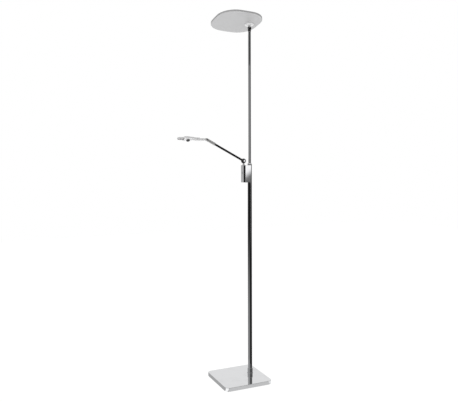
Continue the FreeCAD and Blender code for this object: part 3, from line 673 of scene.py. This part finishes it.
class Growth:
    """Geometry node trees for what repeats, and how a tree becomes a plain mesh."""

    @staticmethod
    def _start(name: str, sizes: type) -> tuple[Graph, Any, Any]:
        """Start a geometry tree.

        Args:
            name: The tree's name.
            sizes: The dataclass whose fields become its inputs.

        Returns:
            The graph, what its inputs give, and where its result goes.
        """
        tree = bpy.data.node_groups.new(name, "GeometryNodeTree")
        tree.interface.new_socket("Geometry", in_out="INPUT", socket_type="NodeSocketGeometry")
        for size in fields(sizes):
            kind = "NodeSocketInt" if size.type == "int" else "NodeSocketFloat"
            tree.interface.new_socket(title_of(size.name), in_out="INPUT", socket_type=kind)
        tree.interface.new_socket("Finish", in_out="INPUT", socket_type="NodeSocketMaterial")
        tree.interface.new_socket("Geometry", in_out="OUTPUT", socket_type="NodeSocketGeometry")
        graph = Graph(tree)
        return graph, graph.node("NodeGroupInput").outputs, graph.node("NodeGroupOutput").inputs[0]

    @staticmethod
    def _close(graph: Graph, result: Socket, shape: Socket, finish: Socket) -> bpy.types.NodeTree:
        """End a tree: real meshes, crisp edges, one material.

        Args:
            graph: The tree's graph.
            result: Where its result goes.
            shape: The geometry so far.
            finish: The material.

        Returns:
            The tree.
        """
        real = graph.node("GeometryNodeRealizeInstances", {0: shape}).outputs[0]
        smooth = graph.node("GeometryNodeSetShadeSmooth", {"Geometry": real, "Shade Smooth": True}).outputs[0]
        angle = graph.node("GeometryNodeInputMeshEdgeAngle").outputs[0]
        crisp = graph.maths("GREATER_THAN", angle, GROWN_CREASE)
        sockets = {"Geometry": smooth, "Selection": crisp, "Shade Smooth": False}
        edges = graph.node("GeometryNodeSetShadeSmooth", sockets, domain="EDGE").outputs[0]
        dressed = graph.node("GeometryNodeSetMaterial", {"Geometry": edges, "Material": finish})
        graph.feed(result, dressed.outputs[0])
        return graph.tree

    @staticmethod
    def _on_points(graph: Graph, points: Socket, shape: Socket, direction: Socket, axis: str) -> Socket:
        """Set a shape on every point.

        Args:
            graph: The tree's graph.
            points: The points.
            shape: The shape.
            direction: Where the shape's axis points.
            axis: That axis.

        Returns:
            The shapes.
        """
        turn = graph.node("FunctionNodeAlignRotationToVector", {"Vector": direction}, axis=axis).outputs[0]
        sockets = {"Points": points, "Instance": shape, "Rotation": turn}
        return graph.node("GeometryNodeInstanceOnPoints", sockets).outputs[0]

    @staticmethod
    def _on_seats(graph: Graph, seats: Socket, shape: Socket) -> Socket:
        """Set a shape on every seat, turned the way the seat faces."""
        named = graph.node("GeometryNodeInputNamedAttribute", {"Name": "facing"}, data_type="FLOAT_VECTOR")
        return Growth._on_points(graph, seats, shape, named.outputs[0], "Z")

    @staticmethod
    def _raised(graph: Graph, shape: Socket, height: Socket) -> Socket:
        """Move a shape along Z."""
        shift = graph.node("ShaderNodeCombineXYZ", {"Z": height}).outputs[0]
        return graph.node("GeometryNodeTransform", {"Geometry": shape, "Translation": shift}).outputs[0]

    @staticmethod
    @cache
    def screws() -> bpy.types.NodeTree:
        """Screws, one on each seat, with the head flush with it.

        Returns:
            The tree.
        """
        graph, given, result = Growth._start("socket_screws", Screw)
        cone = {
            "Vertices": 48,
            "Radius Top": given["Head Radius"],
            "Radius Bottom": given["Shank Radius"],
            "Depth": given["Head Height"],
        }
        head = graph.node("GeometryNodeMeshCone", cone).outputs["Mesh"]
        head = Growth._raised(graph, head, graph.maths("MULTIPLY", given["Head Height"], -1.0))
        rod = {"Vertices": 32, "Radius": given["Shank Radius"], "Depth": given["Shank Length"]}
        shank = graph.node("GeometryNodeMeshCylinder", rod).outputs["Mesh"]
        half = graph.maths("MULTIPLY", given["Shank Length"], -0.5)
        under_head = graph.maths("MULTIPLY", given["Head Height"], 0.9)
        shank = Growth._raised(graph, shank, graph.maths("SUBTRACT", half, under_head))
        deep = graph.maths("MULTIPLY", given["Socket Depth"], 2.0)
        hole = {"Vertices": 6, "Radius": given["Socket Radius"], "Depth": deep}
        socket = graph.node("GeometryNodeMeshCylinder", hole).outputs["Mesh"]
        whole = graph.node("GeometryNodeMeshBoolean", {"Mesh 2": head}, operation="UNION")
        graph.feed(whole.inputs["Mesh 2"], shank)
        sockets = {"Mesh 1": whole.outputs[0], "Mesh 2": socket}
        cut = graph.node("GeometryNodeMeshBoolean", sockets, operation="DIFFERENCE").outputs[0]
        return Growth._close(graph, result, Growth._on_seats(graph, given["Geometry"], cut), given["Finish"])

    @staticmethod
    @cache
    def nubs() -> bpy.types.NodeTree:
        """Nubs, one on each seat.

        Returns:
            The tree.
        """
        graph, given, result = Growth._start("nubs", Nub)
        sphere = {"Segments": 12, "Rings": 6, "Radius": 1.0}
        ball = graph.node("GeometryNodeMeshUVSphere", sphere).outputs["Mesh"]
        sides = {"X": given["Radius"], "Y": given["Radius"], "Z": given["Height"]}
        size = graph.node("ShaderNodeCombineXYZ", sides).outputs[0]
        flat = graph.node("GeometryNodeTransform", {"Geometry": ball, "Scale": size}).outputs[0]
        return Growth._close(graph, result, Growth._on_seats(graph, given["Geometry"], flat), given["Finish"])

    @staticmethod
    @cache
    def ribs() -> bpy.types.NodeTree:
        """Ribs round a ring about Z.

        Returns:
            The tree.
        """
        graph, given, result = Growth._start("ribs", Ribs)
        circle = graph.node("GeometryNodeMeshCircle", {"Vertices": given["Count"], "Radius": given["Radius"]})
        sides = {"X": given["Width"], "Y": given["Width"], "Z": given["Height"]}
        size = graph.node("ShaderNodeCombineXYZ", sides).outputs[0]
        bar = graph.node("GeometryNodeMeshCube", {"Size": size}).outputs["Mesh"]
        outwards = graph.node("GeometryNodeInputPosition").outputs[0]
        ring = Growth._on_points(graph, circle.outputs["Mesh"], bar, outwards, "X")
        return Growth._close(graph, result, ring, given["Finish"])

    @staticmethod
    def _seeds(seats: Sequence[Seat]) -> bpy.types.Mesh:
        """Build the points that a tree starts from.

        Args:
            seats: Each point in metres and the direction that it faces.

        Returns:
            A mesh of loose points with a "facing" attribute.
        """
        mesh = bpy.data.meshes.new("seeds")
        mesh.from_pydata([tuple(point) for point, _ in seats], [], [])
        store = mesh.attributes.new("facing", "FLOAT_VECTOR", "POINT")
        store.data.foreach_set("vector", [part for _, facing in seats for part in facing])
        return mesh

    @staticmethod
    def run(
        name: str, sizes: Screw | Nub | Ribs, finish: Finish, seats: Sequence[Seat]
    ) -> bpy.types.Object:
        """Grow screws, nubs or ribs and keep the result as a plain mesh.

        Args:
            name: The piece's name.
            sizes: What is grown, and its sizes.
            finish: The piece's finish.
            seats: Each point in metres and the direction that it faces.

        Returns:
            The finished piece.
        """
        tree = {Screw: Growth.screws, Nub: Growth.nubs, Ribs: Growth.ribs}[type(sizes)]()
        values: dict[str, Any] = {"Finish": finish.material()}
        for title, size in asdict(sizes).items():
            values[title_of(title)] = size if isinstance(size, int) else size * MM
        source = add_object(name + "_seeds", Growth._seeds(seats))
        modifier = source.modifiers.new("growth", "NODES")
        modifier.node_group = tree
        for item in tree.interface.items_tree:
            if item.item_type == "SOCKET" and item.in_out == "INPUT" and item.name in values:
                modifier[item.identifier] = values[item.name]
        bpy.context.view_layer.update()
        graph = bpy.context.evaluated_depsgraph_get()
        mesh = bpy.data.meshes.new_from_object(source.evaluated_get(graph), depsgraph=graph)
        mesh.name = name
        source.modifiers.remove(modifier)
        bpy.data.objects.remove(source)
        return add_object(name, mesh)


# Assemblies. Sizes in millimetres and degrees


@dataclass
class Assembly:
    """What every assembly of the lamp can do with its solids and pieces."""

    frame: dict[str, Any]

    def dress(self, finish: Finish, *nodes: str) -> None:
        """Give solids a finish.

        Args:
            finish: The finish.
            *nodes: Names of the solids.
        """
        for name in nodes:
            mesh = self.frame["nodes"][name].data
            mesh.materials.clear()
            mesh.materials.append(finish.material())
            LOG.info("dressed %s as %s", name, finish.name)

    def seat(self, piece: bpy.types.Object, body: Body, slot: Slot, *stands_for: str) -> None:
        """Fix a new piece to its body and hide the solids that it takes the place of.

        Args:
            piece: The piece.
            body: The body that it rides on.
            slot: Not used.
            *stands_for: Solids that it takes the place of.
        """
        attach(piece, body.value)
        if stands_for:
            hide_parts(*stands_for)
        LOG.info("built %s with %d faces", piece.name, len(piece.data.polygons))


@dataclass
class LampBase(Assembly):
    """Square base: polished cover, weight, closing plate, pad and inlet."""

    pad_side: float = 236.0
    pad_corner: float = 15.0
    pad_top: float = 2.5
    pad_bevel: float = 0.3
    corner_steps: int = 8
    nub: Nub = Nub(3.2, 0.7)
    nub_pitch: float = 14.0
    nub_margins: float = 20.0
    inlet: Point = (-18.0, 125.0, 11.0)
    bush: Profile = (
        (2.75, 2.5), (3.6, 2.5), (5.4, 2.3), (6.1, 1.6), (6.5, 0.9), (6.8, 0.5), (6.8, 0.0),
        (4.5, 0.0), (4.5, -1.5), (6.0, -1.5), (6.0, -2.4), (5.5, -2.9), (2.75, -2.9), (2.75, 2.5),
    )
    bush_steps: int = 64
    ribs: Ribs = Ribs(20, 6.4, 0.9, 1.3)
    rib_middle: float = 0.8

    def build(self) -> None:
        """Dress the solids and build the finer pieces."""
        self.dress(CHROME_BASE, "base_cover")
        self.dress(IRON, "base_weight")
        self.dress(ZINC, "base_plate", "base_screws")
        self.pad()
        self.gland()

    def pad(self) -> None:
        """Rubber sheet with rows of small nubs underneath."""
        shape = bmesh.new()
        half, corner = self.pad_side / 2 * MM, self.pad_corner * MM
        low, high = self.nub.height * MM, self.pad_top * MM
        outline = []
        for quarter in range(4):
            centre = Matrix.Rotation(math.radians(90 * quarter), 2) @ Vector((half - corner, half - corner))
            for step in range(self.corner_steps + 1):
                angle = math.radians(90 * quarter + 90 * step / self.corner_steps)
                outline.append(centre + corner * Vector((math.cos(angle), math.sin(angle))))
        bottom = shape.faces.new([shape.verts.new((p.x, p.y, low)) for p in outline])
        grown = bmesh.ops.extrude_face_region(shape, geom=[bottom])
        tops = [v for v in grown["geom"] if isinstance(v, bmesh.types.BMVert)]
        bmesh.ops.translate(shape, verts=tops, vec=(0, 0, high - low))
        rim = [e for e in shape.edges if abs(e.verts[0].co.z - e.verts[1].co.z) < TINY]
        bmesh.ops.bevel(shape, geom=rim, offset=self.pad_bevel * MM, segments=2, affect="EDGES")
        bmesh.ops.recalc_face_normals(shape, faces=shape.faces)
        mesh = bpy.data.meshes.new("pad_sheet")
        shape.to_mesh(mesh)
        shape.free()
        mesh.materials.append(RUBBER.material())
        self.seat(add_object("pad_sheet", mesh), Body.STAND, Slot.RUBBER, "base_pad")
        count = int((self.pad_side - self.nub_margins) // self.nub_pitch)
        start = -count * self.nub_pitch / 2
        rows = [(start + i * self.nub_pitch) * MM for i in range(count + 1)]
        seats = [(Vector((x, y, low)), DOWN) for x in rows for y in rows]
        self.seat(Growth.run("pad_nubs", self.nub, RUBBER, seats), Body.STAND, Slot.RUBBER)

    def gland(self) -> None:
        """Inlet bush: a turned body with grip ribs."""
        place = upright_on(Vector(self.inlet) * MM, BACK)
        body = turned("inlet_bush", self.bush, place, PLASTIC, self.bush_steps)
        weld(body.data)
        self.seat(body, Body.STAND, Slot.PLASTIC, "cable_gland")
        ribs = Growth.run("inlet_ribs", self.ribs, PLASTIC, [(Vector(), UP)])
        ribs.data.transform(place @ Matrix.Translation((0, 0, self.rib_middle * MM)))
        self.seat(ribs, Body.STAND, Slot.PLASTIC)


@dataclass
class Pole(Assembly):
    """Two-step pole with its foot, cap and bushes."""

    axis: Spot = POLE_AXIS
    lower_radius: float = 11.0
    grub: Screw = Screw(1.95, 0.6, 1.95, 3.0, 1.05, 1.4)
    grub_heights: tuple[float, float] = (1066.0, 1076.0)
    grub_sunk: float = 0.3

    def build(self) -> None:
        """Dress the solids and build the grub screws."""
        self.dress(CHROME, "pole_collar")
        self.dress(CHROME_TUBE, "lower_tube", "upper_tube")
        self.dress(ZINC, "foot_plug", "foot_nipple", "foot_washer", "foot_nut")
        self.dress(PLASTIC, "guide_bush")
        self.dress(PALE, "tube_cap")
        self.dress(NICKEL, "top_bush")
        self.dress(LEAD, "upper_lead")
        x, y = self.axis
        wall = y + self.lower_radius - self.grub_sunk
        seats = [(Vector((x, wall, z)) * MM, BACK) for z in self.grub_heights]
        screws = Growth.run("grub_screws", self.grub, ZINC, seats)
        self.seat(screws, Body.STAND, Slot.ZINC, "set_screws")


@dataclass
class DriverBox(Assembly):
    """Upright box on the pole's front, with its button and screws."""

    axis: Spot = POLE_AXIS
    top: float = 1081.0
    bottom: float = 995.0
    front: float = -41.0
    screw: Screw = Screw(2.95, 1.45, 1.45, 7.0, 1.1, 1.1)
    screw_x: tuple[float, float] = (-14.5, 14.5)
    screw_y: float = -7.5
    button_height: float = 1042.0
    button_proud: float = 1.0
    cap: Profile = (
        (0.0, -0.35), (1.5, -0.32), (3.0, -0.2), (3.9, -0.06), (4.15, -0.02), (4.25, -0.16), (4.4, -0.16),
        (4.5, -0.02), (5.0, 0.0), (5.35, -0.15), (5.5, -0.5), (5.5, -3.1), (6.8, -3.1), (6.8, -4.1),
        (2.0, -4.1), (2.0, -5.6), (0.0, -5.6),
    )

    def build(self) -> None:
        """Dress the solids and build the screws and the button."""
        self.dress(CHROME, "housing_shell", "housing_top", "housing_floor")
        self.dress(ZINC, "saddle_screws")
        self.dress(BOARD, "driver_board", "button_switch")
        self.dress(COMPONENT, "driver_parts")
        x, y = self.axis
        seats = []
        for side in self.screw_x:
            for z, up in ((self.top, UP), (self.bottom, DOWN)):
                seats.append((Vector((x + side, y + self.screw_y, z)) * MM, up))
        screws = Growth.run("box_screws", self.screw, ZINC, seats)
        self.seat(screws, Body.STAND, Slot.ZINC, "housing_screws")
        self.button()

    def button(self) -> None:
        """Push button with a dished face and a fine ring."""
        x, y = self.axis
        face = Vector((x, y + self.front - self.button_proud, self.button_height)) * MM
        piece = turned("box_button_cap", self.cap, upright_on(face, FRONT), CHROME)
        self.seat(piece, Body.BOX_BUTTON, Slot.CHROME, "uplight_button")


@dataclass
class ReadingArm(Assembly):
    """Pivot, ball, rod and sleeve of the arm."""

    def build(self) -> None:
        """Dress the solids."""
        self.dress(PALE, "swivel_stem")
        self.dress(CHROME, "ball_pin", "elbow_pin")
        self.dress(CHROME_DARK, "arm_ball")
        self.dress(ZINC, "stem_washer", "stem_nut")
        self.dress(PLASTIC, "ball_washers")
        self.dress(LACQUER, "arm_rod")
        self.dress(NICKEL, "stem_bush", "arm_sleeve")
        self.dress(LEAD, "arm_lead")


@dataclass
class ReadingHead(Assembly):
    """Neck and paddle-shaped head with its window, light sources, screws and button."""

    elbow: Point = (-18.0, -159.026, 1204.916)
    roll: float = -25.0
    screw: Screw = Screw(2.25, 1.15, 1.05, 3.2, 0.8, 0.8)
    screw_places: tuple[Spot, ...] = ((-8.5, -78.0), (8.5, -78.0), (-13.0, -111.0), (13.0, -111.0))
    led: Nub = Nub(1.4, 0.6)
    led_rows: tuple[float, ...] = (127.0, 133.5, 140.0)
    led_columns: tuple[float, ...] = (-2.6, 2.6)
    led_height: float = 4.4
    button_y: float = 97.0
    button_drop: float = 9.0
    cap: Profile = (
        (0.0, -0.45), (2.4, -0.4), (4.4, -0.22), (5.4, -0.05), (5.6, -0.25), (5.8, -0.25), (6.0, -0.02),
        (6.9, 0.0), (7.7, -0.15), (8.2, -0.6), (8.4, -1.2), (8.4, -10.3), (9.6, -10.3), (9.6, -11.0),
        (2.0, -11.0), (2.0, -11.6), (0.0, -11.6),
    )

    @property
    def place(self) -> Matrix:
        """The head's own frame on the lamp."""
        return Matrix.Translation(Vector(self.elbow) * MM) @ turn_about("Y", self.roll)

    def build(self) -> None:
        """Dress the solids and build the finer pieces."""
        self.dress(PALE, "head_neck", "head_shell", "head_cover")
        self.dress(ZINC, "neck_ring")
        # The black trim round the window is painted shade: its dark plastic stands in for the shade in the
        # gap between the window and the cover.
        self.dress(PLASTIC, "window_trim")
        self.dress(WINDOW, "reading_window")
        self.dress(WHITE_BOARD, "reading_board")
        place = self.place
        down = (place.to_3x3() @ DOWN).normalized()
        seats = [(place @ (Vector((x, y, 0.0)) * MM), down) for x, y in self.screw_places]
        screws = Growth.run("head_cover_screws", self.screw, ZINC, seats)
        self.seat(screws, Body.HEAD, Slot.ZINC, "head_screws")
        spots = [Vector((x, -y, self.led_height)) * MM for y in self.led_rows for x in self.led_columns]
        seats = [(place @ spot, down) for spot in spots]
        leds = Growth.run("reading_led_domes", self.led, PHOSPHOR, seats)
        self.seat(leds, Body.HEAD, Slot.LED, "reading_leds")
        self.button()

    def button(self) -> None:
        """Dark push button with a shallow dish and two fine ridges."""
        face = Vector((0.0, -self.button_y, -self.button_drop)) * MM
        piece = turned("reading_button_cap", self.cap, self.place @ upright_on(face, DOWN), PLASTIC)
        self.seat(piece, Body.HEAD_BUTTON, Slot.PLASTIC, "reading_button")


@dataclass
class Uplighter(Assembly):
    """Knuckle and the tilting tray on top of the pole."""

    knuckle: Point = (*POLE_AXIS, 1755.0)
    pan: float = 79.0
    tilt: float = -10.0
    spin: float = -78.0
    screw: Screw = Screw(2.95, 1.45, 1.45, 4.0, 1.1, 1.0)
    screw_circle: float = 17.0
    screw_bearings: tuple[int, ...] = (30, 150, 270)
    flange_bottom: float = 17.0
    led: Nub = Nub(1.7, 0.7)
    led_rings: tuple[tuple[float, int], ...] = ((74.0, 26), (48.0, 16))
    led_height: float = 23.4
    ring_forward: float = 70.0
    nut_room: float = 31.0

    @property
    def place(self) -> Matrix:
        """The tray's own frame on the lamp."""
        panned = Matrix.Translation(Vector(self.knuckle) * MM) @ turn_about("Z", self.pan)
        return panned @ turn_about("X", self.tilt) @ turn_about("Z", self.spin)

    def build(self) -> None:
        """Dress the solids and build the screws and the light sources."""
        self.dress(CHROME, "top_pin")
        self.dress(CHROME_DARK, "top_ball")
        self.dress(PALE, "head_stub", "head_flange")
        self.dress(ZINC, "top_clip", "stub_washer", "stub_nut")
        self.dress(SILVER, "uplight_tray")
        self.dress(WHITE_BOARD, "uplight_board")
        self.dress(OPAL, "uplight_diffuser")
        place = self.place
        down, up = ((place.to_3x3() @ way).normalized() for way in (DOWN, UP))
        seats = []
        for bearing in self.screw_bearings:
            angle = math.radians(bearing)
            spot = Vector((math.cos(angle), math.sin(angle), 0.0)) * self.screw_circle
            seats.append((place @ ((spot + Vector((0, 0, self.flange_bottom))) * MM), down))
        screws = Growth.run("tray_screws", self.screw, ZINC, seats)
        self.seat(screws, Body.UPLIGHTER, Slot.ZINC, "flange_screws")
        seats = []
        for radius, count in self.led_rings:
            for i in range(count):
                angle = 2 * math.pi * i / count
                x, y = radius * math.cos(angle), radius * math.sin(angle) - self.ring_forward
                if math.hypot(x, y) > self.nut_room:
                    seats.append((place @ (Vector((x, y, self.led_height)) * MM), up))
        leds = Growth.run("uplight_led_domes", self.led, PHOSPHOR, seats)
        self.seat(leds, Body.UPLIGHTER, Slot.LED, "uplight_leds")


# Studio. Metres and degrees


@dataclass(frozen=True)
class Flat:
    """A part of the room that bright metal mirrors.

    Directions are in degrees round the lamp, measured from the camera's side towards its right, and up. The
    lower edge climbs towards the right by the slope.
    """

    middle: float
    half_width: float
    low: float
    high: float
    value: float
    side_soft: float = 10.0
    edge_soft: float = 2.0
    slope: float = 0.0


@dataclass(frozen=True)
class Card:
    """A card on the floor that only the sides of the base mirror, with its lowest and highest corner."""

    name: str
    low: Spot
    high: Spot
    value: float

    def material(self, reach: float) -> bpy.types.Material:
        """Build the card's plain light, which only near metal sees.

        Args:
            reach: How far away it is still seen.

        Returns:
            The material.
        """
        made = bpy.data.materials.new(self.name)
        made.use_nodes = True
        graph = Graph(made.node_tree)
        made.node_tree.nodes.remove(made.node_tree.nodes["Principled BSDF"])
        light = graph.node("ShaderNodeEmission", {"Color": rgba(WHITE), "Strength": self.value})
        length = graph.node("ShaderNodeLightPath").outputs["Ray Length"]
        near = graph.maths("LESS_THAN", length, reach)
        clear = graph.node("ShaderNodeBsdfTransparent")
        mixed = graph.node("ShaderNodeMixShader", {0: near, 1: clear.outputs[0], 2: light.outputs[0]})
        graph.feed(made.node_tree.nodes["Material Output"].inputs["Surface"], mixed.outputs[0])
        return made


@dataclass
class Studio:
    """Floor, room, light and camera."""

    floor_corner: Spot = (6.0, 6.0)
    cards: tuple[Card, ...] = (
        Card("floor_card_right", (0.127, -0.118), (0.2, 0.122), 0.74),
        Card("floor_card_front", (-0.2, -0.24), (0.104, -0.127), 0.5),
        Card("floor_card_corner", (0.104, -0.22), (0.17, -0.122), 1.3),
        Card("floor_card_back", (0.06, 0.122), (0.24, 0.24), 1.1),
        Card("floor_card_back_corner", (0.1, 0.1), (0.127, 0.122), 1.1),
        Card("floor_card_left", (-0.24, -0.127), (-0.1, 0.12), 1.1),
    )
    card_height: float = 0.0006
    card_reach: float = 0.09
    flats: tuple[Flat, ...] = (
        Flat(0.0, 200.0, 0.15, 95.0, 0.05, edge_soft=0.15),
        Flat(0.0, 200.0, 30.0, 95.0, 0.55, edge_soft=3.0),
        Flat(0.0, 200.0, 0.15, 10.0, 0.26, edge_soft=0.15),
        Flat(85.0, 45.0, 0.15, 14.0, 0.13, edge_soft=0.15),
        Flat(-72.0, 33.0, 0.15, 14.0, 0.36, side_soft=12.0, edge_soft=0.15),
        Flat(-80.0, 70.0, 16.0, 26.0, 0.52, side_soft=6.0),
        Flat(60.0, 60.0, 16.0, 26.0, 0.15, side_soft=6.0),
        Flat(-75.0, 68.0, -62.0, -11.0, 0.30, edge_soft=6.0),
        Flat(0.0, 200.0, -95.0, -68.0, 0.95, edge_soft=4.0),
        Flat(-130.0, 16.0, -5.0, 8.0, 0.55, side_soft=6.0, edge_soft=3.0),
        Flat(50.0, 9.0, -2.4, 0.5, 0.18, side_soft=2.5, edge_soft=0.3),
        Flat(50.0, 9.0, -0.95, 0.9, 1.35, side_soft=2.5, edge_soft=0.5, slope=0.76),
        Flat(180.0, 38.0, -66.0, 50.0, 0.98, side_soft=5.0, edge_soft=6.0),
        Flat(180.0, 34.0, -66.0, -25.0, 1.24, side_soft=6.0, edge_soft=4.0),
    )
    unlit: float = 0.015
    backdrop: float = 1.0
    sky: float = 0.32
    light_size: float = 3.0
    light_power: float = 18.0
    light_place: Point = (0.6, -0.6, 3.6)
    light_aim: Point = (0.0, 0.0, 0.8)
    eye: Point = (2.494, -1.164, 1.081)
    ahead: Point = (-0.9114, 0.4066, -0.0641)
    roll: float = -0.25
    focal_pixels: float = 557.0
    picture_width: float = 458.0
    sensor: float = 36.0
    clip: tuple[float, float] = (0.01, 100.0)

    def build(self) -> None:
        """Set up the floor, the room, the light and the camera."""
        self.floor()
        self.room()
        self.light()
        self.camera()
        bpy.context.scene.view_settings.view_transform = "Standard"

    def floor(self) -> None:
        """Light table that metal does not mirror, and the cards round the base that its sides do."""
        x, y = self.floor_corner
        floor = self._sheet("floor", (-x, -y), (x, y), 0.0, TABLE.material())
        floor.visible_glossy = False
        for card in self.cards:
            light = card.material(self.card_reach)
            laid = self._sheet(card.name, card.low, card.high, self.card_height, light)
            laid.visible_camera = False
            laid.visible_diffuse = False
            laid.visible_shadow = False

    @staticmethod
    def _sheet(
        name: str, low: Spot, high: Spot, height: float, material: bpy.types.Material
    ) -> bpy.types.Object:
        """Lay a flat sheet.

        Args:
            name: Its name.
            low: Its lowest corner.
            high: Its highest corner.
            height: Its height.
            material: Its material.

        Returns:
            The sheet.
        """
        mesh = bpy.data.meshes.new(name)
        corners = [(low[0], low[1]), (high[0], low[1]), (high[0], high[1]), (low[0], high[1])]
        mesh.from_pydata([(x, y, height) for x, y in corners], [], [(0, 1, 2, 3)])
        mesh.materials.append(material)
        made = add_object(name, mesh)
        return made

    def room(self) -> None:
        """White to the camera, dim to matt surfaces, and dark with the flats to bright metal."""
        world = bpy.data.worlds.new("studio")
        bpy.context.scene.world = world
        world.use_nodes = True
        world.cycles.sampling_method = "NONE"
        world.node_tree.nodes.clear()
        graph = Graph(world.node_tree)
        direction = graph.node("ShaderNodeTexCoord").outputs["Generated"]
        part = graph.node("ShaderNodeSeparateXYZ", {0: direction})
        toward = -Vector(self.ahead).to_2d().normalized()
        near = self._along(graph, part, toward)
        side = self._along(graph, part, Vector((-toward.y, toward.x)))
        bearing = graph.maths("ARCTAN2", side, near)
        height = graph.maths("ARCSINE", part.outputs["Z"])
        mirrored: Any = self.unlit
        for flat in self.flats:
            mirrored = self._lay_flat(graph, flat, bearing, height, mirrored)
        path = graph.node("ShaderNodeLightPath").outputs
        plain = graph.mix(Blend.VALUE, path["Is Camera Ray"], self.sky, self.backdrop)
        seen = graph.mix(Blend.VALUE, path["Is Glossy Ray"], plain, mirrored)
        light = graph.node("ShaderNodeBackground", {"Color": rgba(WHITE), "Strength": seen})
        graph.node("ShaderNodeOutputWorld", {"Surface": light.outputs[0]})

    @staticmethod
    def _along(graph: Graph, part: bpy.types.Node, axis: Vector) -> Socket:
        """Measure a direction along a level axis."""
        first = graph.maths("MULTIPLY", part.outputs["X"], axis.x)
        return graph.maths("MULTIPLY_ADD", part.outputs["Y"], axis.y, first)

    @staticmethod
    def _lay_flat(graph: Graph, flat: Flat, bearing: Socket, height: Socket, value: Any) -> Socket:
        """Lay one flat over the room.

        Args:
            graph: The room's graph.
            flat: The flat.
            bearing: Direction round the lamp, in radians.
            height: Direction up, in radians.
            value: Brightness so far.

        Returns:
            The brightness with the flat in it.
        """
        edge, soft, rim = (math.radians(a) for a in (flat.half_width, flat.side_soft, flat.edge_soft))
        low, high = math.radians(flat.low), math.radians(flat.high)
        apart = graph.maths("SUBTRACT", bearing, math.radians(flat.middle))
        wrapped = graph.maths("WRAP", apart, math.pi, -math.pi)
        beside = graph.ramp(graph.maths("ABSOLUTE", wrapped), edge - soft, edge + soft, 1.0, 0.0)
        level = graph.maths("MULTIPLY_ADD", wrapped, -flat.slope, height)
        above = graph.ramp(level, low - rim, low + rim)
        below = graph.ramp(height, high - rim, high + rim, 1.0, 0.0)
        mask = graph.maths("MULTIPLY", beside, graph.maths("MULTIPLY", above, below))
        return graph.mix(Blend.VALUE, mask, value, flat.value)

    def light(self) -> None:
        """One large soft light from above."""
        lamp = bpy.data.lights.new("soft_top", "AREA")
        lamp.shape = "DISK"
        lamp.size = self.light_size
        lamp.energy = self.light_power
        made = bpy.data.objects.new("soft_top", lamp)
        made.location = self.light_place
        aim = Vector(self.light_aim) - made.location
        made.rotation_euler = aim.to_track_quat("-Z", "Y").to_euler()
        made.visible_camera = False
        made.visible_glossy = False
        bpy.context.scene.collection.objects.link(made)

    def camera(self) -> None:
        """Camera at the photograph's place."""
        lens = bpy.data.cameras.new("camera")
        lens.sensor_width = self.sensor
        lens.lens = self.focal_pixels / self.picture_width * self.sensor
        lens.clip_start, lens.clip_end = self.clip
        made = bpy.data.objects.new("camera", lens)
        ahead = Vector(self.ahead).normalized()
        right = ahead.cross(UP).normalized()
        up = right.cross(ahead).normalized()
        angle = math.radians(self.roll)
        turned_right = math.cos(angle) * right + math.sin(angle) * up
        turned_up = math.cos(angle) * up - math.sin(angle) * right
        rows = Matrix((turned_right, turned_up, -ahead)).transposed()
        made.matrix_world = Matrix.Translation(Vector(self.eye)) @ rows.to_4x4()
        bpy.context.scene.collection.objects.link(made)
        bpy.context.scene.camera = made


def clear_scene() -> None:
    """Remove what a new file holds."""
    for found in list(bpy.data.objects):
        bpy.data.objects.remove(found)


def main() -> None:
    """Build the lamp's looks in order."""
    logging.basicConfig(level=logging.INFO, format="%(message)s")
    clear_scene()
    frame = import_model()
    Studio().build()
    for kind in (LampBase, Pole, DriverBox, ReadingArm, ReadingHead, Uplighter):
        kind(frame).build()
        LOG.info("finished %s", kind.__name__)


if __name__ == "__main__":
    main()
